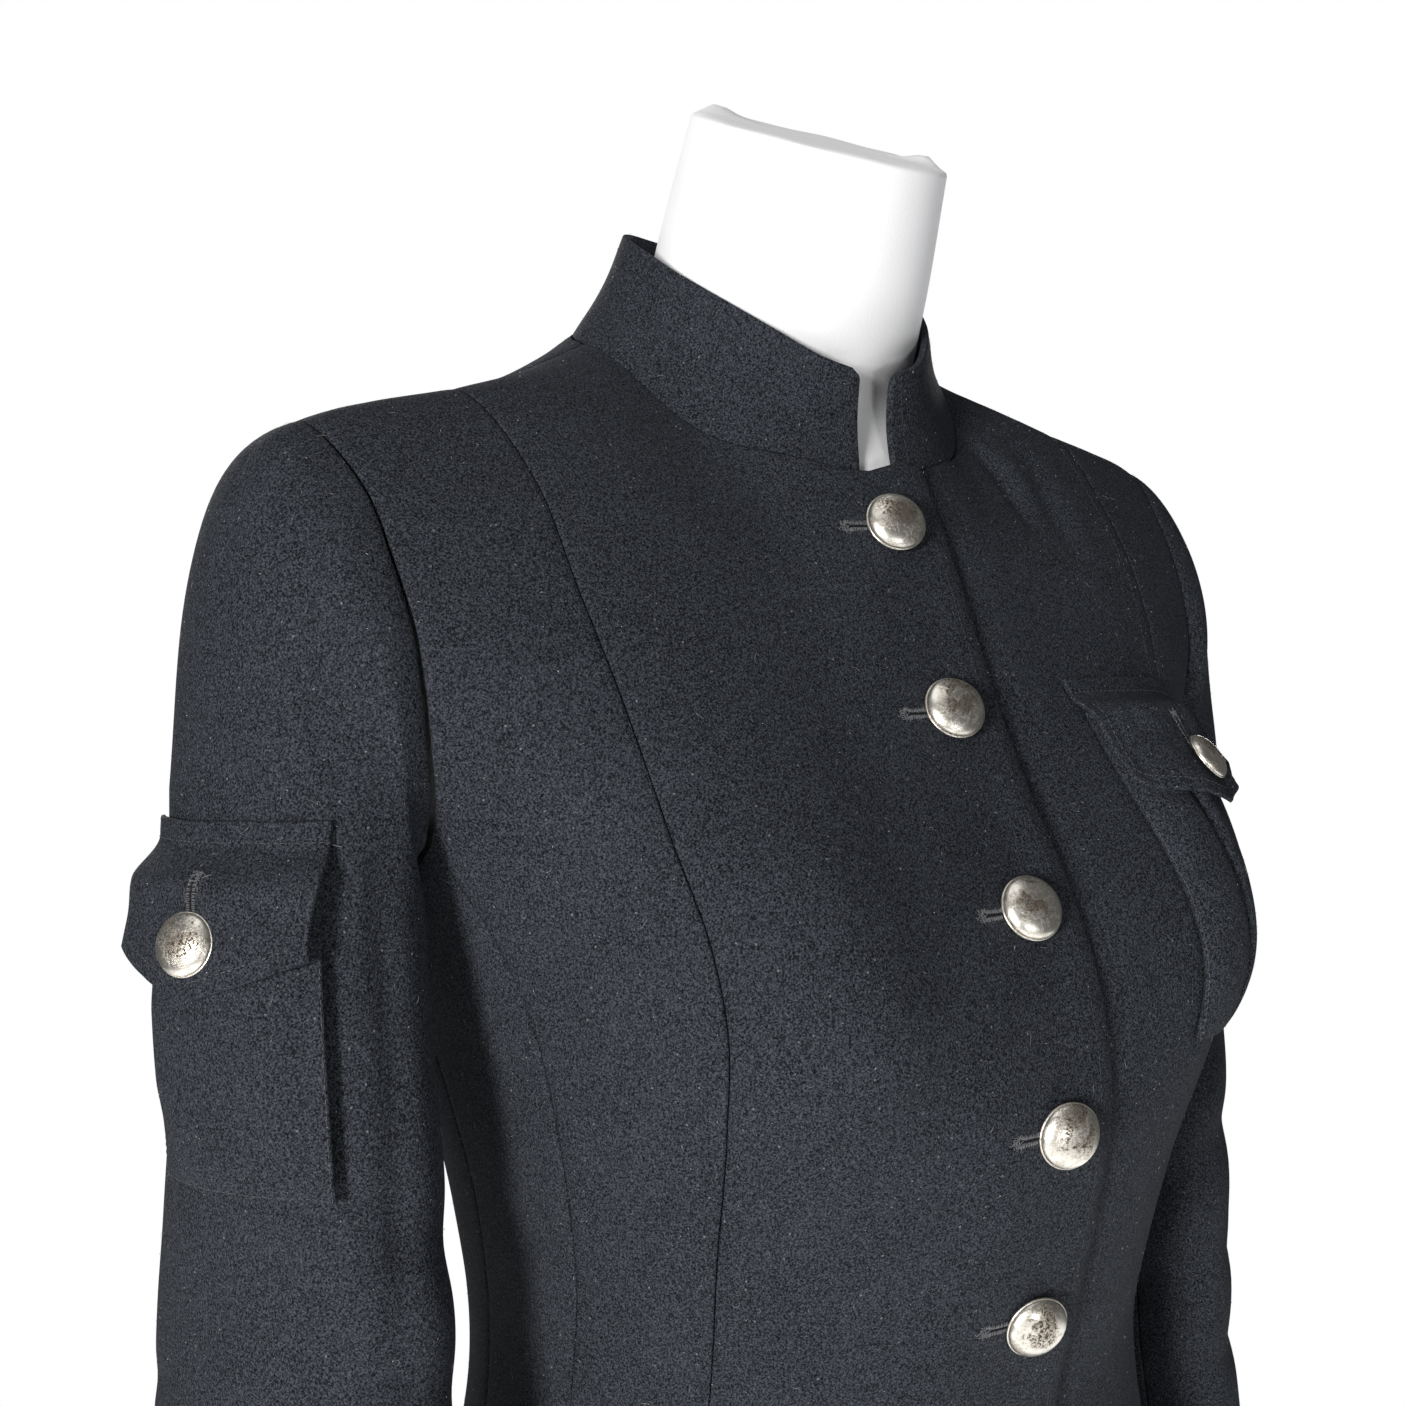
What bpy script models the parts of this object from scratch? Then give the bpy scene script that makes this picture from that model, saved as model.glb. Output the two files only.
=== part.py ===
"""Fitted jacket with a stand collar, on a limbless dress form with a pole and a round base.

Metres, +Z up. The origin is the centre of the base's underside, the front faces -Y and the
wearer's left is +X. Each cut piece of the jacket is a cloth wall of its own. Its outer face lies
on one torso surface, which is worked out from widths and depths at named heights, and its inner
face lies one cloth thickness inside it. Neighbouring pieces stand a seam gap apart.
"""
import math

import bpy
import numpy as np
from mathutils import Vector

# Cloth and gaps
CLOTH = 0.0020
COLLAR_CLOTH = 0.0030
SEAM_GAP = 0.00034
LAYER_GAP = 0.00060
BUTTON_GAP = 0.0006

# Heights above the floor
HEM_HEIGHT = 0.860
JOIN_HEIGHT = 1.222
CUFF_HEIGHT = 0.757
FORM_BOTTOM = 0.780

# Torso sections of the jacket's outer face: height, half width, front depth, back depth
TORSO_SECTIONS = (
    (0.860, 0.170, 0.124, 0.128),
    (0.930, 0.155, 0.118, 0.117),
    (0.985, 0.140, 0.112, 0.104),
    (1.020, 0.134, 0.1145, 0.100),
    (1.050, 0.134, 0.1237, 0.099),
    (1.085, 0.139, 0.134, 0.100),
    (1.120, 0.146, 0.1418, 0.103),
    (1.160, 0.154, 0.1385, 0.106),
    (1.193, 0.164, 0.1266, 0.108),
    (1.230, 0.182, 0.107, 0.110),
    (1.260, 0.207, 0.0928, 0.110),
    (1.300, 0.228, 0.0765, 0.105),
    (1.327, 0.236, 0.0655, 0.098),
    (1.350, 0.240, 0.056, 0.090),
    (1.390, 0.240, 0.047, 0.080),
    (1.430, 0.240, 0.040, 0.074),
)
# Shoulder ridge: distance from the centre, height, place from front (-) to back (+)
SHOULDER_RIDGE = (
    (0.000, 1.4400, 0.018),
    (0.035, 1.4310, 0.018),
    (0.068, 1.4100, 0.018),
    (0.092, 1.3940, 0.012),
    (0.112, 1.3835, 0.008),
    (0.134, 1.3760, 0.005),
    (0.150, 1.3720, 0.003),
    (0.172, 1.3670, 0.001),
    (0.190, 1.3620, 0.000),
    (0.205, 1.3550, 0.000),
    (0.240, 1.3050, 0.000),
)
RIDGE_ROUNDING = 0.095
RIDGE_POWER = 2.2
# The ridge's place fades in above this height, over this much height
RIDGE_FADE = (1.29, 0.09)
# Powers of the superellipses; the front's changes above this height, over this much height
BACK_POWER = 2.45
FRONT_POWER_LOW = 2.12
FRONT_POWER_HIGH = 2.47
FRONT_POWER_FADE = (1.20, 0.08)
# Bust: distance from the centre, height, half spread across, half spread up, fullness
BUST = (0.094, 1.178, 0.046, 0.055, 0.028)
BUST_STRETCH_ABOVE = 1.15
# Hollow beside the collar: distance from the centre, place, spread across, spread along, depth
NECK_HOLLOW = (0.054, -0.026, 0.037, 0.034, 0.028)

# Lines that look for the torso surface: steps of halving, lengths, and where they start. The core
# is narrower than the torso and sinks below the shoulders, above a height, over this much height.
HALVINGS = 40
BODY_REACH = 0.3
SETTLE_REACH = 2.5
DROP_START = 1.27
DROP_REACH = 0.25
CORE_WIDTH = 0.55
CORE_SINK = 0.10
CORE_FADE = (1.24, 0.10)
NORMAL_STEP = 0.0004
# Points along a seam before it is cut into even steps
CURVE_POINTS = 400
SEAM_POINTS = 600

# Neckline in plan
NECK_HALF_WIDTH = 0.0815
NECK_CENTRE = 0.012
NECK_FRONT = 0.0688
NECK_BACK = 0.049
# Angles of the neckline's points: 0 at the centre front, 90 at the shoulder seam, 180 at the nape
NECK_FRONT_ANGLES = (-14.0, -6.0, 6.0, 19.0, 33.0, 48.0, 62.0, 76.0, 90.0)
NECK_BACK_ANGLES = (90.0, 104.0, 119.0, 134.0, 149.0, 164.0, 180.0)
SHOULDER_TIP = 0.196
# The left shoulder and sleeve lie nearer the centre than the right ones
LEFT_DRAW = 0.010
LEFT_DRAW_START = 0.095
LEFT_DRAW_REACH = 0.085
PRINCESS_TOP = 0.1406

# Seams on one half of the torso, from hem to top: out from the centre, front (-) or back (+), height
PRINCESS_SEAM = (
    (0.126, -0.074, 0.860),
    (0.116, -0.071, 0.930),
    (0.106, -0.068, 0.985),
    (0.104, -0.080, 1.041),
    (0.108, -0.093, 1.094),
    (0.1125, -0.106, 1.134),
    (0.1150, -0.112, 1.164),
    (0.1175, -0.108, 1.192),
    (0.1215, -0.096, 1.222),
    (0.1270, -0.080, 1.265),
    (0.1340, -0.066, 1.303),
    (0.1360, -0.046, 1.338),
    (0.1395, -0.031, 1.3565),
    (0.1406, 0.0045, 1.3745),
)
SIDE_FRONT_SEAM = (
    (0.163, -0.036, 0.860),
    (0.148, -0.034, 0.930),
    (0.134, -0.032, 0.985),
    (0.129, -0.034, 1.035),
    (0.131, -0.043, 1.071),
    (0.136, -0.049, 1.104),
    (0.141, -0.051, 1.132),
    (0.147, -0.050, 1.160),
    (0.157, -0.043, 1.192),
    (0.172, -0.032, 1.2225),
)
SIDE_BACK_SEAM = (
    (0.168, 0.024, 0.860),
    (0.153, 0.024, 0.930),
    (0.138, 0.022, 0.985),
    (0.133, 0.019, 1.020),
    (0.136, 0.011, 1.065),
    (0.142, 0.006, 1.100),
    (0.148, 0.010, 1.139),
    (0.157, 0.022, 1.180),
    (0.172, 0.034, 1.2225),
)
ARMHOLE_FRONT = (
    (0.172, -0.032, 1.2225),
    (0.177, -0.046, 1.240),
    (0.181, -0.054, 1.265),
    (0.1845, -0.054, 1.290),
    (0.187, -0.046, 1.313),
    (0.190, -0.034, 1.336),
    (0.194, -0.021, 1.350),
    (0.196, 0.000, 1.3595),
)
ARMHOLE_BACK = (
    (0.172, 0.034, 1.2225),
    (0.177, 0.051, 1.240),
    (0.181, 0.064, 1.265),
    (0.184, 0.067, 1.290),
    (0.187, 0.058, 1.313),
    (0.190, 0.043, 1.336),
    (0.194, 0.024, 1.351),
    (0.196, 0.000, 1.3595),
)
UNDERARM_ARC = (
    (0.172, -0.032, 1.2225),
    (0.172, -0.016, 1.2130),
    (0.172, 0.001, 1.2100),
    (0.172, 0.018, 1.2130),
    (0.172, 0.034, 1.2225),
)

# Grid of the panels: rows below and above the join height, columns of each panel
ROWS_LOW = 15
ROWS_HIGH = 9
FRONT_SHOULDER_COLUMNS = 4
SIDE_FRONT_COLUMNS = 5
SIDE_COLUMNS = 5
BACK_SHOULDER_COLUMNS = 6

# Front overlap: the wearer's right front lies over the left one
OVERLAP_HALF = 0.020
OVERLAP_LIFT = CLOTH + LAYER_GAP
OVERLAP_RAMP = 0.036
OVERLAP_FLAT = 0.004
# Past the collar's end the overlap's top edge stands higher, from its corner on
OVERLAP_TOP_RISE = (0.0016, 0.0040)

# Stand collar: half width, front and back of its top edge, heights, rounding of its front corners
COLLAR_TOP_HALF_WIDTH = 0.061
COLLAR_TOP_FRONT = -0.0570
COLLAR_TOP_BACK = 0.050
COLLAR_TOP_CENTRE = 0.006
COLLAR_TOP_HEIGHTS = (
    (0.0, 1.3800),
    (20.0, 1.3870),
    (41.0, 1.3990),
    (55.0, 1.4085),
    (70.0, 1.4190),
    (90.0, 1.4335),
    (120.0, 1.4390),
    (180.0, 1.4420),
)
COLLAR_CORNER = 0.0045
COLLAR_CORNER_PARTS = (0.03, 0.085, 0.17, 0.28)
# The collar's right end leans towards the centre at its top
COLLAR_RIGHT_LEAN = 0.0015
COLLAR_END_SPREAD = 17.0
COLLAR_FLARE = 0.0022
COLLAR_ROWS = 5

# Sleeve tube: height, centre out, centre front (-) to back (+), half thickness, half breadth
SLEEVE_SECTIONS = (
    (0.757, 0.2160, -0.0200, 0.0290, 0.0460),
    (0.860, 0.2145, -0.0090, 0.0300, 0.0500),
    (0.930, 0.2105, -0.0010, 0.0310, 0.0550),
    (0.980, 0.2080, 0.0035, 0.0325, 0.0590),
    (1.030, 0.2062, 0.0050, 0.0330, 0.0615),
    (1.075, 0.2045, 0.0030, 0.0330, 0.0600),
    (1.105, 0.2042, 0.0005, 0.0330, 0.0560),
    (1.135, 0.2045, -0.0020, 0.0330, 0.0520),
    (1.170, 0.2055, -0.0038, 0.0330, 0.0485),
    (1.210, 0.2050, -0.0045, 0.0330, 0.0468),
    (1.255, 0.2015, -0.0030, 0.0335, 0.0475),
)
# A sleeve's flat tube is turned, its front edge towards the body
SLEEVE_TURN = 18.0
# Soft folds of a sleeve, which lean with the angle: height, angle, rise, half height, half spread of angle
SLEEVE_FOLDS = (
    (1.105, 95.0, -0.0030, 0.013, 48.0),
    (1.062, 75.0, -0.0035, 0.012, 55.0),
    (1.010, 105.0, -0.0030, 0.014, 50.0),
    (0.965, 80.0, -0.0025, 0.013, 55.0),
)
SLEEVE_FOLD_LEAN = 0.00025
# The cap: heights where it ends, rows and their spacing, and its Bezier handles, each with a value
# all round and one more towards the shoulder
SLEEVE_CAP_OUTER = 1.255
SLEEVE_CAP_INNER = 1.172
CAP_ROWS = 6
CAP_SPACING = 1.25
TUBE_ROWS = 14
FRONT_SLEEVE_SEAM = 140.0
BACK_SLEEVE_SEAM = 250.0
CAP_REACH = (0.022, 0.010)
CAP_LIFT = (42.0, 37.0)
CAP_DROP = (0.0335, 0.0215)
CAP_LEAN = 0.0075

# Sleeve pocket and flap, on the right upper arm
SLEEVE_POCKET_ANGLE = 1.0
# The pocket lies this far to the front, and more so towards its bottom
SLEEVE_POCKET_SHIFT = (0.0020, 0.0045)
SLEEVE_POCKET_HALF = 0.0355
SLEEVE_POCKET_TOP = 1.2220
SLEEVE_POCKET_BOTTOM = 1.1215
SLEEVE_FLAP_HALF = 0.0390
SLEEVE_FLAP_TOP = 1.2350
SLEEVE_FLAP_SIDE = 1.1930
SLEEVE_FLAP_POINT = 1.1835
SLEEVE_BUTTON_HEIGHT = 1.2000
POCKET_CLOTH = 0.0017
POCKET_SEAT = 0.0011
# The fullness of each pocket, its share at the mouth and the depth where it is full
SLEEVE_FULLNESS = 0.0044
CHEST_FULLNESS = 0.0075
MOUTH_SHARE = 0.6
MOUTH_DEPTH = 0.35
# A flap lifts over its first part, follows the pocket's middle and stands off at its point
FLAP_GAP = 0.0013
FLAP_BUTTON_GAP = 0.0002
FLAP_LIFT_DEPTH = 0.22
FLAP_FLATNESS = 0.55
FLAP_STAND_OFF = 0.0040
POCKET_COLUMNS = 8
POCKET_ROWS = 7

# Chest pocket and flap, on the wearer's left
CHEST_POCKET_CENTRE = 0.098
CHEST_POCKET_HALF = 0.0365
CHEST_POCKET_TOP = 1.2550
CHEST_POCKET_BOTTOM = 1.1400
CHEST_FLAP_HALF = 0.0395
CHEST_FLAP_TOP = 1.2680
CHEST_FLAP_SIDE = 1.2255
CHEST_FLAP_POINT = 1.2135
CHEST_BUTTON_HEIGHT = 1.2290
CHEST_POCKET_LEAN = 0.006
CHEST_FORESHORTENING = 0.93
CHEST_START = -0.11
# The box pleat: half width, where its fold starts, the fold's breadth and its rise
PLEAT_HALF = 0.013
PLEAT_FLAT = 0.6 * PLEAT_HALF
PLEAT_FOLD = 0.5 * PLEAT_HALF
PLEAT_RISE = 0.0016

# Buttons: the line and the heights of the front closing, and the two sizes
BUTTON_LINE = -0.0058
FRONT_BUTTON_HEIGHTS = (1.3235, 1.2574, 1.1916, 1.1219, 1.0559, 0.9895)
FRONT_BUTTON_RADIUS = 0.01125
POCKET_BUTTON_RADIUS = 0.00975
BUTTON_STEPS = 15
# A domed shank button as shares of its radius: the dome's half width, rise and spring, the angles
# of its points, then the rolled rim and the shank as radius and height
DOME = (0.93, 0.30, 0.20)
DOME_ANGLES = (0.0, 22.0, 44.0, 66.0, 86.0)
RIM_AND_SHANK = (
    (0.985, 0.235),
    (1.000, 0.170),
    (0.940, 0.110),
    (0.320, 0.100),
    (0.300, 0.000),
    (0.000, 0.000),
)

# Dress form: its clearance under the cloth, its shoulder ends and its leaning neck
FORM_REST_GAP = 0.0008
FORM_FREE_GAP = 0.0045
FORM_REST_FADE = (1.330, 0.025)
FORM_CENTRE = 0.005
FORM_REACH = 0.4
# The shoulders end in a rounded limit, above a height, over this much height
FORM_SHOULDER_END = 0.172
FORM_SHOULDER_POWER = 12
FORM_SHOULDER_FADE = (1.20, 0.06)
FORM_HEIGHTS = (
    0.780, 0.820, 0.860, 0.900, 0.940, 0.980, 1.015, 1.050, 1.085, 1.120, 1.150, 1.180, 1.210,
    1.240, 1.270, 1.295, 1.315, 1.332, 1.345, 1.355, 1.363, 1.370, 1.378, 1.386,
)
FORM_COLUMNS = 32
NECK_AXIS_LOW = (0.010, 1.3850)
NECK_AXIS_TOP = (-0.0274, 1.4700)
NECK_RADIUS_LOW = 0.0565
NECK_RADIUS_TOP = 0.0492
NECK_BLEND = (1.345, 1.388)
NECK_BLEND_SHARE = 0.55
NECK_FIRST_STEP = 0.10
NECK_RINGS = 6
# The neck's rounded top: share of the ring before it, and rise along the axis
NECK_TOP = ((0.985, 0.0016), (0.93, 0.0032))

# Stand
POLE_RADIUS = 0.0125
POLE_FLANGE_RADIUS = 0.042
POLE_FLANGE = 0.005
POLE_BOSS_RADIUS = 0.026
POLE_BOSS = 0.030
BASE_RADIUS = 0.175
BASE_THICKNESS = 0.018
BASE_EDGE = 0.005
POLE_STEPS = 24
BASE_STEPS = 48

# Finishes: red, green, blue, roughness, metallic
FINISHES = {
    "cloth": (0.012, 0.013, 0.017, 0.95, 0.0),
    "button": (0.60, 0.56, 0.49, 0.35, 1.0),
    "jersey": (0.86, 0.85, 0.84, 0.80, 0.0),
    "steel": (0.72, 0.72, 0.73, 0.30, 1.0),
    "base": (0.85, 0.85, 0.86, 0.40, 0.0),
}


def clear_scene():
    """Remove every object of the scene."""
    for item in list(bpy.data.objects):
        bpy.data.objects.remove(item, do_unlink=True)


def make_finish(name):
    """Make one Principled material from its row in FINISHES."""
    red, green, blue, roughness, metallic = FINISHES[name]
    finish = bpy.data.materials.new(name)
    finish.use_nodes = True
    shader = finish.node_tree.nodes["Principled BSDF"]
    shader.inputs["Base Color"].default_value = (red, green, blue, 1.0)
    shader.inputs["Roughness"].default_value = roughness
    shader.inputs["Metallic"].default_value = metallic
    return finish


def add_object(name, mesh, finish):
    """Put a mesh into the jacket's collection as a named object with its own material."""
    item = bpy.data.objects.new(name, mesh)
    bpy.data.collections["jacket_on_dress_form"].objects.link(item)
    material = bpy.data.materials[finish].copy()
    material.name = name + "_finish"
    mesh.materials.append(material)
    mesh.shade_smooth()
    mesh.set_sharp_from_angle(angle=math.radians(50.0))
    return item


def ease(value):
    """Rise smoothly from 0 at 0 to 1 at 1."""
    value = np.clip(value, 0.0, 1.0)
    return value * value * (3.0 - 2.0 * value)


def fade(height, span):
    """Rise smoothly from 0 at a height to 1 over so much height."""
    return ease((height - span[0]) / span[1])


def unit(vectors):
    """Scale each vector to length 1."""
    return vectors / np.linalg.norm(vectors, axis=-1, keepdims=True)


def smooth_value(keys, values, at):
    """Read a smooth curve through the values at their keys, by cubic pieces."""
    keys = np.asarray(keys, float)
    values = np.asarray(values, float)
    steps = np.diff(keys)
    slopes = np.diff(values) / steps
    middle = (slopes[:-1] * steps[1:] + slopes[1:] * steps[:-1]) / (steps[1:] + steps[:-1])
    tangents = np.concatenate([slopes[:1], middle, slopes[-1:]])
    at = np.clip(at, keys[0], keys[-1])
    piece = np.clip(np.searchsorted(keys, at, side="right") - 1, 0, len(steps) - 1)
    step = steps[piece]
    part = (at - keys[piece]) / step
    rest = 1.0 - part
    return ((1.0 + 2.0 * part) * rest ** 2 * values[piece]
            + part * rest ** 2 * step * tangents[piece]
            + part ** 2 * (3.0 - 2.0 * part) * values[piece + 1]
            + part ** 2 * (part - 1.0) * step * tangents[piece + 1])


def column(rows, at, number):
    """Read one column of a table of rows at a value of its first column."""
    table = np.asarray(rows, float)
    return smooth_value(table[:, 0], table[:, number], at)


def curve_points(rows, count):
    """Space points evenly along a smooth curve through the rows' points."""
    rows = np.asarray(rows, float)
    chord = np.concatenate([[0.0], np.cumsum(np.linalg.norm(np.diff(rows, axis=0), axis=1))])
    fine = np.linspace(0.0, chord[-1], CURVE_POINTS)
    dense = np.stack([smooth_value(chord, rows[:, axis], fine) for axis in range(3)], axis=-1)
    return even_points(dense, count)


def even_points(points, count):
    """Space points evenly along a run of many points."""
    lengths = np.linalg.norm(np.diff(points, axis=0), axis=1)
    run = np.concatenate([[0.0], np.cumsum(lengths)])
    places = np.linspace(0.0, run[-1], count)
    return np.stack([np.interp(places, run, points[:, axis]) for axis in range(3)], axis=-1)


def torso_value(points):
    """Tell inside from outside of the jacket's outer face: below 0 inside, above 0 outside.

    Each height has a superellipse in plan. Towards the shoulder ridge its depth closes to zero,
    so that the front and the back meet over the ridge in a round.
    """
    out = np.abs(points[..., 0])
    hollow_x, hollow_y, spread_x, spread_y, hollow = NECK_HOLLOW
    fall = ((out - hollow_x) / spread_x) ** 2 + ((points[..., 1] - hollow_y) / spread_y) ** 2
    height = points[..., 2] + hollow * np.exp(-fall)
    ridge_place = column(SHOULDER_RIDGE, out, 2) * fade(height, RIDGE_FADE)
    depth = points[..., 1] - ridge_place
    half_width = column(TORSO_SECTIONS, height, 1)
    bust_x, bust_z, bust_across, bust_up, fullness = BUST
    rise = np.where(height > bust_z, BUST_STRETCH_ABOVE * bust_up, bust_up)
    bust = fullness * np.exp(-((out - bust_x) / bust_across) ** 2 - ((height - bust_z) / rise) ** 2)
    front = column(TORSO_SECTIONS, height, 2) + bust + ridge_place
    back = column(TORSO_SECTIONS, height, 3) - ridge_place
    high = np.clip((height - FRONT_POWER_FADE[0]) / FRONT_POWER_FADE[1], 0.0, 1.0)
    front_power = FRONT_POWER_LOW + (FRONT_POWER_HIGH - FRONT_POWER_LOW) * high
    power = np.where(depth < 0.0, front_power, BACK_POWER)
    closing = (height - column(SHOULDER_RIDGE, out, 1)) / RIDGE_ROUNDING + 1.0
    closing = 1.0 - np.maximum(closing, 0.0) ** RIDGE_POWER
    across = 1.0 - (out / half_width) ** power
    room = np.where(across > 0.0, closing * across, -np.abs(across))
    return (np.abs(depth) / np.where(depth < 0.0, front, back)) ** power - room


def torso_normal(points):
    """Find the outward normals of the torso surface from small differences."""
    slope = np.zeros(points.shape)
    for axis in range(3):
        move = np.zeros(3)
        move[axis] = NORMAL_STEP
        slope[..., axis] = torso_value(points + move) - torso_value(points - move)
    return unit(slope)


def find_surface(start, direction, reach):
    """Halve a step again and again to find where lines from inside leave the torso surface."""
    low = np.zeros(start.shape[:-1])
    high = np.full(start.shape[:-1], reach)
    for _ in range(HALVINGS):
        middle = 0.5 * (low + high)
        inside = torso_value(start + direction * middle[..., None]) < 0.0
        low = np.where(inside, middle, low)
        high = np.where(inside, high, middle)
    return start + direction * low[..., None]


def settle(points):
    """Move points along lines from the torso's core until they lie on the torso surface."""
    core = points.copy()
    core[..., 0] *= CORE_WIDTH
    core[..., 1] = 0.0
    core[..., 2] -= CORE_SINK * fade(points[..., 2], CORE_FADE)
    return find_surface(core, points - core, SETTLE_REACH)


def drop_onto(out, place):
    """Find the torso surface straight above a place in plan."""
    start = np.stack([out, place, np.full(np.shape(out), DROP_START)], axis=-1)
    return find_surface(start, np.array([0.0, 0.0, 1.0]), DROP_REACH)


def neckline(angles):
    """Follow the neckline on the torso, from angle 0 at the centre front to 180 at the nape."""
    angle = np.radians(angles)
    reach = np.where(np.cos(angle) > 0.0, NECK_FRONT, NECK_BACK)
    out = NECK_HALF_WIDTH * np.sin(angle)
    return drop_onto(out, NECK_CENTRE - reach * np.cos(angle))


def shoulder_line(first, last, count):
    """Follow the shoulder seam between two distances from the centre."""
    out = np.linspace(first, last, count)
    part = (out - NECK_HALF_WIDTH) / (SHOULDER_TIP - NECK_HALF_WIDTH)
    return drop_onto(out, NECK_CENTRE * (1.0 - part))


def rising_seam(rows):
    """Place a seam's points on the torso, with the panels' rows below and above the join."""
    fine = curve_points(rows, SEAM_POINTS)
    split = int(np.argmax(fine[:, 2] > JOIN_HEIGHT))
    low = even_points(fine[:split + 1], ROWS_LOW)
    high = even_points(fine[split:], ROWS_HIGH)
    return settle(np.concatenate([low, high[1:]]))


def centre_line(out, top, facing):
    """Rise along the centre front (facing -1) or centre back (1) at a distance from the centre."""
    low = np.linspace(HEM_HEIGHT, JOIN_HEIGHT, ROWS_LOW)
    high = np.linspace(JOIN_HEIGHT, top[2], ROWS_HIGH)[1:]
    heights = np.concatenate([low, high])
    start = np.stack([np.full(len(heights), out), np.zeros(len(heights)), heights], axis=-1)
    return find_surface(start, np.array([0.0, facing, 0.0]), BODY_REACH)


def patch(left, right, bottom, top):
    """Fill four edges with a Coons patch and settle its inside onto the torso surface."""
    across = np.linspace(0.0, 1.0, len(bottom))[None, :, None]
    up = np.linspace(0.0, 1.0, len(left))[:, None, None]
    sides = (1.0 - across) * left[:, None] + across * right[:, None]
    ends = (1.0 - up) * bottom[None] + up * top[None]
    corners = ((1.0 - across) * (1.0 - up) * bottom[0] + across * (1.0 - up) * bottom[-1]
               + (1.0 - across) * up * top[0] + across * up * top[-1])
    grid = sides + ends - corners
    grid[1:-1, 1:-1] = settle(grid[1:-1, 1:-1])
    return grid


def draw_in(grid, amount):
    """Draw the four edges of a grid of points in by half a seam gap."""
    drawn = grid.copy()
    drawn[0] += amount * unit(grid[1] - grid[0])
    drawn[-1] += amount * unit(grid[-2] - grid[-1])
    drawn[:, 0] += amount * unit(grid[:, 1] - grid[:, 0])
    drawn[:, -1] += amount * unit(grid[:, -2] - grid[:, -1])
    return drawn


def cloth_wall(name, outer, inner, finish="cloth"):
    """Close a wall between the grids of its outer and its inner points."""
    rows, columns = outer.shape[:2]
    number = np.arange(rows * columns).reshape(rows, columns)
    corners = np.stack([number[:-1, :-1], number[:-1, 1:], number[1:, 1:], number[1:, :-1]], -1)
    face = outer.reshape(-1, 3)[corners.reshape(-1, 4)]
    facing = np.cross(face[:, 1] - face[:, 0], face[:, 3] - face[:, 0])
    away = (outer - inner)[:-1, :-1].reshape(-1, 3)
    quads = corners.reshape(-1, 4)
    size = rows * columns
    edges = ((number[0], 1), (number[:, -1], 1), (number[-1], -1), (number[:, 0], -1))
    faces = [quads[:, [0, 1, 2]], quads[:, [0, 2, 3]],
             quads[:, [2, 1, 0]] + size, quads[:, [3, 2, 0]] + size]
    for edge, turn in edges:
        near, far = edge[:-1], edge[1:]
        faces.append(np.stack([far, near, far + size], axis=-1)[:, ::turn])
        faces.append(np.stack([near, near + size, far + size], axis=-1)[:, ::turn])
    faces = np.concatenate(faces)
    if np.sum(facing * away) < 0.0:
        faces = faces[:, ::-1]
    points = np.concatenate([outer.reshape(-1, 3), inner.reshape(-1, 3)])
    mesh = bpy.data.meshes.new(name)
    mesh.from_pydata(points.tolist(), [], faces.tolist())
    mesh.update()
    return add_object(name, mesh, finish)


def mirrored(directions, side):
    """Turn directions of the wearer's left half into those of either side."""
    return directions * np.array([side, 1.0, 1.0])


def placed(points, side):
    """Turn points of the wearer's left half into those of either side.

    The jacket hangs a little to the wearer's right, so the left shoulder is drawn in.
    """
    moved = np.array(points)
    if side > 0.0:
        moved[..., 0] -= LEFT_DRAW * ease((moved[..., 0] - LEFT_DRAW_START) / LEFT_DRAW_REACH)
    return mirrored(moved, side)


def make_panel(name, grid, side, lift=None):
    """Make one cut piece of the body from its grid, with its thickness inwards.

    The right front, which has a lift, also stands higher at its overlap's top edge.
    """
    normal = torso_normal(grid)
    outer = draw_in(grid, 0.5 * SEAM_GAP)
    if lift is not None:
        level = normal * np.array([1.0, 1.0, 0.0])
        outer = outer + level * (lift / np.sum(level ** 2, axis=-1))[..., None]
        outer[-1, :len(OVERLAP_TOP_RISE), 2] += OVERLAP_TOP_RISE
    inner = outer - normal * CLOTH
    return cloth_wall(name, placed(outer, side), placed(inner, side))


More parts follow.
